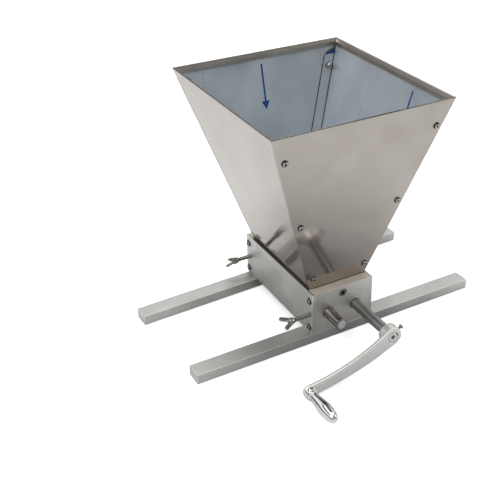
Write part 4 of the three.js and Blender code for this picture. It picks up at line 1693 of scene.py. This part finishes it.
    def _film(self) -> None:
        """The film on all four walls and their flanges, with its printed arrows and dotted lines."""
        material, ink = Film().material(), Print("blue_print").material()
        for wall in self.walls:
            thick = self.sheet * wall.level()
            bottom, top = self.base_z + 2, self.slopes.rim_z - self.hem - 0.3
            short = self._clear_of_flange if wall.joint == 0 else (lambda z: wall.joint + self.bend + 0.3)
            first, last = (lambda z: -wall.run(z) + short(z)), (lambda z: wall.run(z) - short(z))
            sheet = self._film_sheet(wall, thick, bottom, top, first, last)
            if wall.joint == 0:
                depth = 2 * thick + self.air
                high = self.slopes.rim_z - self.flange_gap - 5
                for side in (-1, 1):
                    first = lambda z, s=side: s * (wall.run(z) - wall.level() - self.bend + 0.2)
                    last = lambda z, s=side: s * (wall.run(z) - self.reach + 0.1)
                    sheet.gather(self._film_sheet(wall, depth, bottom, high, first, last))
            if wall.name == "rear":
                self._peeled_film(wall, 2 * thick + self.air)
            sheet.turned(wall.turn, "Z")
            sheet.obj.data.materials.append(material)
            name = f"hopper_{wall.name}_film"
            self.kit.publish.piece(name, sheet, "frame", "protective_film", (), (), angle=60)
            self._marks(wall, thick, ink)

    def _clear_of_flange(self, z: float) -> float:
        """How far the film on an end wall stays from the corner, to pass beside and above the flange."""
        below = (self.slopes.rim_z - self.flange_gap + 1.5 - z) / self.drop
        return 1.6 + (self.reach - 1.1) * min(max(below, 0), 1)

    def _peeled_film(self, wall: Wall, depth: float) -> None:
        """The curl of dark blue film that is left at the top of a flange.

        Args:
            wall: the wall that the flange lies on.
            depth: level depth of the flange's surface below the wall's outside.
        """
        level, steps, outlines = self.slopes.rim_z - self.flange_gap, 14, ([], [])
        for i in range(steps + 1):
            part = i / steps
            top = level - 0.5 - self.drop * part
            tall = 3.6 * (1 - part) ** 0.8 + 0.5
            along = -(wall.run(top) - self.bend - (self.reach - self.bend - 0.6) * part)
            curl = 0.5 + 0.5 * math.sin(part * 7)
            outlines[0].append(wall.point(along, depth + 0.35 + curl * 0.4, top))
            outlines[1].append(wall.point(along, depth + 0.35 + curl, top - tall))
        thin = Vector((0, 0.08, 0))
        edge = outlines[0] + outlines[1][::-1]
        strip = loft(edge, [point + thin for point in edge]).turned(wall.turn, "Z")
        self.kit.publish.piece("hopper_peeled_film", strip, "frame", "protective_film", [DARK_FILM])

    def _film_sheet(
        self,
        wall: Wall,
        depth: float,
        bottom: float,
        top: float,
        first: Callable[[float], float],
        last: Callable[[float], float],
    ) -> Solid:
        """A sheet of film a hair above the metal, lifted here and there.

        Args:
            wall: the wall it lies on.
            depth: level depth of the metal's surface below the wall's outside.
            bottom: its lower edge.
            top: its upper edge.
            first: where it starts along the wall at a height.
            last: where it ends.

        Returns:
            The film in the front panel's place.
        """
        rows, columns = 40, 36
        shape = bmesh.new()
        layers = []
        for skin in (0.0, 0.05):
            grid = []
            for i in range(rows + 1):
                z = bottom + (top - bottom) * i / rows
                for j in range(columns + 1):
                    along = first(z) + (last(z) - first(z)) * j / columns
                    rim = min(i, rows - i, j, columns - j)
                    lift = 0.12 * min(rim, 2) / 2 * (1 + noise.noise(Vector((along, wall.turn, z)) * 0.05))
                    grid.append(shape.verts.new(wall.point(along, depth + 0.1 + skin + lift, z)))
            layers.append(grid)
        wide = columns + 1

        def quad(grid: Sequence[bmesh.types.BMVert], i: int, j: int) -> list[bmesh.types.BMVert]:
            """The four corners of one cell."""
            low, high = i * wide + j, (i + 1) * wide + j
            return [grid[low], grid[low + 1], grid[high + 1], grid[high]]

        for i in range(rows):
            for j in range(columns):
                for grid in layers:
                    shape.faces.new(quad(grid, i, j))
        edge = [i * wide for i in range(rows + 1)] + [rows * wide + j for j in range(1, wide)]
        edge += [i * wide + columns for i in range(rows - 1, -1, -1)] + list(range(columns - 1, 0, -1))
        for a, b in zip(edge, edge[1:] + edge[:1]):
            shape.faces.new((layers[0][a], layers[0][b], layers[1][b], layers[1][a]))
        return Solid(shape)

    def _marks(self, wall: Wall, thick: float, ink: bpy.types.Material) -> None:
        """The arrow and dotted lines printed on one wall's film.

        Args:
            wall: the wall.
            thick: the level thickness of its sheet.
            ink: the ink's material.
        """
        over = thick + 0.42
        rim = self.slopes.rim_z
        across, dots = {
            "rear": (-1.3, (-80.7, 72.5)),
            "right": (-48.6, (25.4,)),
            "front": (1.3, (76.0, -76.0)),
            "left": (48.6, (-25.4,)),
        }[wall.name]
        arrow = self._arrow(wall, across, rim - 14.2, rim - 65.6, over)
        for x in dots:
            start, end = wall.point(x, over, rim - 12), wall.point(x, over, rim - 75)
            facing = Vector((0, 1, wall.rise)).normalized()
            arrow.gather(self.kit.dots.draw(start, end, facing, 5.2, ink))
        arrow.obj.data.materials.clear()
        arrow.obj.data.materials.append(ink)
        arrow.paint(lambda face: 0)
        arrow.turned(wall.turn, "Z")
        name = f"hopper_{wall.name}_print"
        self.kit.publish.piece(name, arrow, "frame", "protective_film", (), ())

    @staticmethod
    def _arrow(wall: Wall, across: float, tail: float, tip: float, over: float) -> Solid:
        """A printed arrow that points down the wall.

        Args:
            wall: the wall.
            across: its place along the wall.
            tail: the height of its tail.
            tip: the height of its tip.
            over: its level depth below the wall's outside.

        Returns:
            The arrow in the front panel's place.
        """
        shaft, head, neck = 1.0, 5.2, 9.5
        outline = [(-shaft, tail), (-shaft, tip + neck), (-head, tip + neck), (0, tip), (head, tip + neck)]
        outline += [(shaft, tip + neck), (shaft, tail)]
        layers = [[wall.point(across + x, over + skin, z) for x, z in outline] for skin in (0, 0.03)]
        return loft(*layers)


# ---------------------------------------------------------------- crank


@dataclass
class Crank:
    """The curved crank arm with its hub, set screw, spindle and turning grip.

    Args:
        kit: what the pieces are made with.
        hub: the hub's radius and thickness.
        arm: the arm's thickness.
        end_half: half the arm's width at the handle.
        flare: what it gains at the hub.
        lean: how far the arm leans out at the handle.
        bend: the arm's bend point, from the drive axis.
        collar: the collar's radius and front face, in front of the box's middle.
        shaft: the drive shaft's radius.
        set_turn: the set screw's direction, in degrees above +X.
    """

    kit: Kit
    hub: Point = (11.3, 12.0)
    arm: float = 5.0
    end_half: float = 7.2
    flare: float = 4.2
    lean: float = 4.2
    bend: Point = (-28.0, 10.8)
    collar: Point = (6.9, 160.0)
    shaft: float = 6.0
    set_turn: float = 22.0

    def __post_init__(self) -> None:
        """Reads the two axes and the hub's face from the frame."""
        self.drive = self.kit.datum.axis("crank_turn")
        self.handle = self.kit.datum.axis("grip_spin")
        self.reach = self.shaft_end() + 0.2

    def shaft_end(self) -> float:
        """The drive shaft's reach in front of the box's middle."""
        return -self.kit.datum.box("drive_roller")[0].y

    def build(self) -> None:
        """Builds the arm, its screw, the spindle and the grip."""
        self._arm()
        self._set_screw()
        self._spindle()
        self._grip()

    def _outline(self) -> list[Point]:
        """The arm's outline: two curved edges, a round end and the round of the hub."""
        start = Vector((self.drive.x, self.drive.z))
        bend, end = Vector(self.bend), Vector((self.handle.x, self.handle.z))
        steps = 32
        upper, lower, frames = [], [], []
        for i in range(steps + 1):
            t = i / steps
            centre = start * (1 - t) ** 2 + bend * 2 * t * (1 - t) + end * t * t
            along = ((bend - start) * (1 - t) + (end - bend) * t).normalized()
            across = Vector((-along.y, along.x))
            half = self.end_half + self.flare * (1 - t) ** 2
            upper.append(centre + across * half)
            lower.append(centre - across * half)
            frames.append((centre, along, across, half))
        turns = [math.pi * k / 20 for k in range(1, 20)]
        centre, along, across, half = frames[-1]
        cap = [centre + (across * math.cos(a) + along * math.sin(a)) * half for a in turns]
        centre, along, across, half = frames[0]
        heel = [centre - (across * math.cos(a) + along * math.sin(a)) * half for a in turns]
        return [tuple(point) for point in [*upper, *cap, *lower[::-1], *heel]]

    def _leaned(self, point: Vector) -> Vector:
        """Where a point of the flat arm goes as the arm leans out towards the handle."""
        part = (self.drive.x - point.x) / (self.drive.x - self.handle.x - self.collar[0])
        return Vector((point.x, point.y - self.lean * min(max(part, 0), 1), point.z))

    def _arm(self) -> None:
        """The arm with its satin face and polished edges, whose pale cream colour is a painted highlight."""
        radius, thickness = self.hub
        front = -self.reach
        arm = prism(self._outline(), front, front + self.arm)
        arm.bevel(1.9, 5, 60).reshape(self._leaned)
        boss = lathe([(0, front + 1.5), (radius, front + 1.5), (radius, front + thickness - 1)]
                     + [(radius - 0.3, front + thickness - 0.3), (radius - 1, front + thickness)]
                     + [(0, front + thickness)], 96)
        arm.join(boss.shifted(self.drive.x, 0, self.drive.z))
        bore = drill(self.shaft + 0.08, front + thickness + 1, front, 0.25, 96)
        face = front - self.lean
        pin = drill(3.1, face + self.arm + 1, face, 0.2, 48)
        hole = drill(1.6, 0, radius, 0.3, 32).turned(-90, "Z").turned(-self.set_turn, "Y")
        hole.shifted(self.drive.x, front + thickness / 2, self.drive.z)
        bore.shifted(self.drive.x, 0, self.drive.z)
        arm.cut(bore, pin.shifted(self.handle.x, 0, self.handle.z), hole)
        # Faces that do not face front or back take the edge finish with its painted highlight.
        arm.paint(lambda face: 0 if abs(face.normal.y) > 0.9 else 1)
        finishes, nodes = [ARM_FACE, ARM_EDGE_HIGHLIGHT], ["crank_arm"]
        self.kit.publish.piece("crank_lever", arm, "crank", "crank_aluminium", finishes, nodes, angle=25)

    def _set_screw(self) -> None:
        """The small slotted screw that presses on the shaft's flat."""
        neck, height, head = 14.2, 2.4, 2.7
        crown = flowing([(head, neck + 1.2), (head - 0.5, neck + 2.0), (head - 1.4, neck + height)], 3)
        screw = lathe([(0, neck), (head - 0.15, neck), (head, neck + 0.15), *crown, (0, neck + height)], 32)
        slot = block((-head - 1, neck + height - 0.9, -0.35), (head + 1, neck + height + 1, 0.35))
        screw.cut(slot).bevel(0.08, 1, 40)
        tip = self.shaft - 1.2 + 0.25
        thread = self.kit.bars.thread(1.5, tip, neck + 0.1, 0.5).turned(-90, "X")
        screw.gather(thread).turned(-90, "Z").turned(-self.set_turn, "Y")
        screw.shifted(self.drive.x, -self.reach + self.hub[1] / 2, self.drive.z)
        publish = self.kit.publish.piece
        publish("crank_grub_screw", screw, "crank", "fastener_steel", [BRIGHT], ["crank_set_screw"])

    def _spindle(self) -> None:
        """The pin that carries the grip, with its collar in front of the arm and a rivet behind."""
        radius, front = self.collar
        face = self.reach + self.lean
        back = face - self.arm
        high = self.kit.datum.box("handle_spindle")[1].y
        tip = -self.kit.datum.box("handle_spindle")[0].y
        profile = [(0, -tip), (2.6, -tip), (3, -tip + 0.4), (3, -front), (radius - 0.7, -front)]
        profile += [(radius - 0.2, -front + 0.2), (radius, -front + 0.7), (radius, -face - 0.5)]
        profile += [(radius - 0.3, -face - 0.2), (3, -face - 0.2), (3, -back + 0.25), (4.4, -back + 0.25)]
        profile += [(4.1, -back + 0.9), (3.3, -back + 1.5), (1.8, high), (0, high)]
        pin = lathe(profile, 64).shifted(self.handle.x, 0, self.handle.z)
        self.kit.publish.piece("handle_pin", pin, "crank", "chrome", [CHROME], ["handle_spindle"], 40)

    def _grip(self) -> None:
        """The chromed grip: a slim neck that swells and ends in a rounded nose."""
        low, high = self.kit.datum.box("handle_grip")
        nose, back = -low.y, -high.y
        belly = [(0, nose), (2.6, nose - 0.5), (4.4, nose - 2.3), (5.6, nose - 5.3), (6.6, nose - 11)]
        belly += [(7.15, nose - 17), (7.1, nose - 21), (6.5, nose - 27), (5.6, nose - 34), (5.0, nose - 39)]
        neck = [(5.0, back + 3.2), (5.3, back + 2.4), (6.1, back + 2.0), (6.3, back + 1.6), (6.3, back + 0.5)]
        neck += [(6.0, back)]
        outline = flowing([*belly, neck[0]], 5) + neck[1:]
        bore = [(3.1, back), (3.1, back + 36), (0, back + 36)]
        grip = lathe([(radius, -reach) for radius, reach in [*outline, *bore]], 96)
        grip.shifted(self.handle.x, 0, self.handle.z)
        self.kit.publish.piece("turning_grip", grip, "grip", "chrome", [CHROME], ["handle_grip"], 40)


# ---------------------------------------------------------------- studio


@dataclass(frozen=True)
class Softbox:
    """One soft area light that looks at the mill.

    Args:
        name: the light's name.
        place: where it hangs, in metres.
        size: its width and height.
        power: its power in watts.
    """

    name: str
    place: tuple[float, float, float]
    size: Point
    power: float

    def hang(self, target: Vector) -> None:
        """Hangs the light and aims it.

        Args:
            target: the point it looks at.
        """
        light = bpy.data.lights.new(self.name, "AREA")
        light.shape = "RECTANGLE"
        light.size, light.size_y = self.size
        light.energy = self.power
        lamp = bpy.data.objects.new(self.name, light)
        lamp.location = self.place
        lamp.rotation_euler = (target - Vector(self.place)).to_track_quat("-Z", "Y").to_euler()
        bpy.context.scene.collection.objects.link(lamp)


@dataclass(frozen=True)
class Studio:
    """A plain pale floor, soft studio light and the camera.

    Args:
        heading: the camera's heading from +Y towards +X, in degrees.
        pitch: how far it looks down, in degrees.
        roll: its roll in degrees.
        stand: the camera's place in metres.
        lens: its focal length in millimetres on the sensor.
        shift: its sensor shift across and up.
        floor_half: half the floor's width in metres.
        floor_lift: how much paler the floor looks than the light on it makes it.
        painted_floor_shadow: the painted shadow on the floor round the mill that only reflections see: its
            tone at distances in metres from the middle.
        boxes: the softboxes.
    """

    heading: float = 30.64
    pitch: float = 30.22
    roll: float = 0.23
    stand: tuple[float, float, float] = (-0.44748, -0.698875, 0.6037)
    lens: float = 62.986
    shift: Point = (-0.1, -0.04)
    floor_half: float = 4.0
    floor_lift: float = 0.42
    painted_floor_shadow: tuple[Point, ...] = ((0.08, 0.48), (0.16, 0.75), (0.26, 0.93), (1.0, 0.93))
    boxes: tuple[Softbox, ...] = (
        Softbox("key_softbox", (-1.3, -0.6, 1.7), (1.2, 1.2), 13),
        Softbox("top_softbox", (0.2, 0.5, 2.0), (1.6, 1.6), 17),
        Softbox("right_softbox", (1.6, -0.7, 1.0), (0.8, 1.4), 5),
    )

    def build(self) -> None:
        """Sets the whole studio up."""
        self._camera()
        self._floor()
        self._surroundings()
        for box in self.boxes:
            box.hang(Vector((0, 0, 0.12)))
        log.info("studio: %d lights", len(self.boxes))

    def _camera(self) -> None:
        """The camera at its stand."""
        data = bpy.data.cameras.new("camera")
        data.lens = self.lens
        data.sensor_width = 36
        data.shift_x, data.shift_y = self.shift
        data.clip_start, data.clip_end = 0.01, 50
        camera = bpy.data.objects.new("camera", data)
        turn = Matrix.Rotation(math.radians(-self.heading), 4, "Z")
        turn @= Matrix.Rotation(math.radians(90 - self.pitch), 4, "X")
        turn @= Matrix.Rotation(math.radians(self.roll), 4, "Z")
        camera.matrix_world = Matrix.Translation(self.stand) @ turn
        bpy.context.scene.collection.objects.link(camera)
        bpy.context.scene.camera = camera

    def _floor(self) -> None:
        """The pale floor, a little below the rails, with a painted shadow round the mill that only
        reflections see.
        """
        half = self.floor_half
        shape = bmesh.new()
        bmesh.ops.create_grid(shape, x_segments=8, y_segments=8, size=half)
        floor = Solid(shape, outward=False).shifted(z=-0.0002).obj
        floor.name = "floor"
        ink = Ink("pale_floor")
        distance = ink.nodes.new("ShaderNodeVectorMath")
        distance.operation = "LENGTH"
        ink.links.new(ink.place, distance.inputs[0])
        # Rays other than the camera's see the floor darker towards the mill: a painted shadow for the metal
        # to mirror.
        shade = self._ramp(ink.nodes, self.painted_floor_shadow)
        ink.links.new(distance.outputs["Value"], shade.inputs[0])
        pale = ink.nodes.new("ShaderNodeMix")
        pale.data_type = "RGBA"
        pale.inputs[7].default_value = (0.93, 0.93, 0.93, 1)
        ink.links.new(shade.outputs[0], pale.inputs[6])
        ink.feed(Base_Color=pale.outputs[2])
        ink.shader.inputs["Roughness"].default_value = 0.9
        ink.shader.inputs["Specular IOR Level"].default_value = 0.1
        ink.shader.inputs["Emission Color"].default_value = (1, 1, 1, 1)
        seen = ink.nodes.new("ShaderNodeLightPath").outputs["Is Camera Ray"]
        ink.links.new(seen, pale.inputs[0])
        ink.feed(Emission_Strength=ink.math("MULTIPLY", seen, self.floor_lift))
        floor.data.materials.append(ink.material)

    def _surroundings(self) -> None:
        """Soft light from all round, with a dark band low down and one high up for metal to mirror."""
        world = bpy.data.worlds.new("studio")
        world.use_nodes = True
        bpy.context.scene.world = world
        nodes, links = world.node_tree.nodes, world.node_tree.links
        way = nodes.new("ShaderNodeTexCoord")
        parts = nodes.new("ShaderNodeSeparateXYZ")
        links.new(way.outputs["Generated"], parts.inputs[0])
        above = self._ramp(nodes, ((0.0, 0.25), (0.14, 0.08), (0.3, 0.45), (0.44, 1.0), (0.66, 1.0),
                                  (0.7, 0.05), (0.79, 0.05), (0.83, 1.0), (1.0, 0.9)))
        links.new(parts.outputs["Z"], above.inputs[0])
        facing = nodes.new("ShaderNodeMath")
        facing.operation = "MULTIPLY_ADD"
        facing.inputs[1].default_value = facing.inputs[2].default_value = 0.5
        links.new(parts.outputs["Y"], facing.inputs[0])
        around = self._ramp(nodes, ((0.0, 0.46), (0.4, 0.51), (0.62, 0.85), (1.0, 0.80)))
        links.new(facing.outputs[0], around.inputs[0])
        sky = nodes.new("ShaderNodeMix")
        sky.data_type = "RGBA"
        sky.blend_type = "MULTIPLY"
        sky.inputs[0].default_value = 1.0
        links.new(above.outputs[0], sky.inputs[6])
        links.new(around.outputs[0], sky.inputs[7])
        rays = nodes.new("ShaderNodeLightPath")
        pick = nodes.new("ShaderNodeMix")
        pick.data_type = "RGBA"
        pick.inputs[7].default_value = (0.95, 0.95, 0.95, 1)
        links.new(rays.outputs["Is Camera Ray"], pick.inputs[0])
        links.new(sky.outputs[2], pick.inputs[6])
        links.new(pick.outputs[2], nodes["Background"].inputs["Color"])
        nodes["Background"].inputs["Strength"].default_value = 0.95
        bpy.context.scene.view_settings.view_transform = "Standard"
        bpy.context.scene.view_settings.look = "Medium High Contrast"

    @staticmethod
    def _ramp(nodes: bpy.types.Nodes, stops: Sequence[Point]) -> bpy.types.Node:
        """A grey ramp with a tone at each place."""
        ramp = nodes.new("ShaderNodeValToRGB")
        elements = ramp.color_ramp.elements
        while len(elements) < len(stops):
            elements.new(0.5)
        for element, (place, tone) in zip(elements, stops):
            element.position = place
            element.color = (tone, tone, tone, 1)
        return ramp


# ---------------------------------------------------------------- assembly


def main() -> None:
    """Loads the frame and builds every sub-assembly around it."""
    logging.basicConfig(level=logging.INFO, format="%(name)s: %(message)s", stream=sys.stdout, force=True)
    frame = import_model()
    datum = Datum.of(frame)
    kit = Kit(datum, Publisher(datum))
    Studio().build()
    for assembly in (Rails, RollerBox, Rollers, WingBolts, Hopper, Crank):
        assembly(kit).build()
        log.info("%s done", assembly.__name__)


if __name__ == "__main__":
    main()
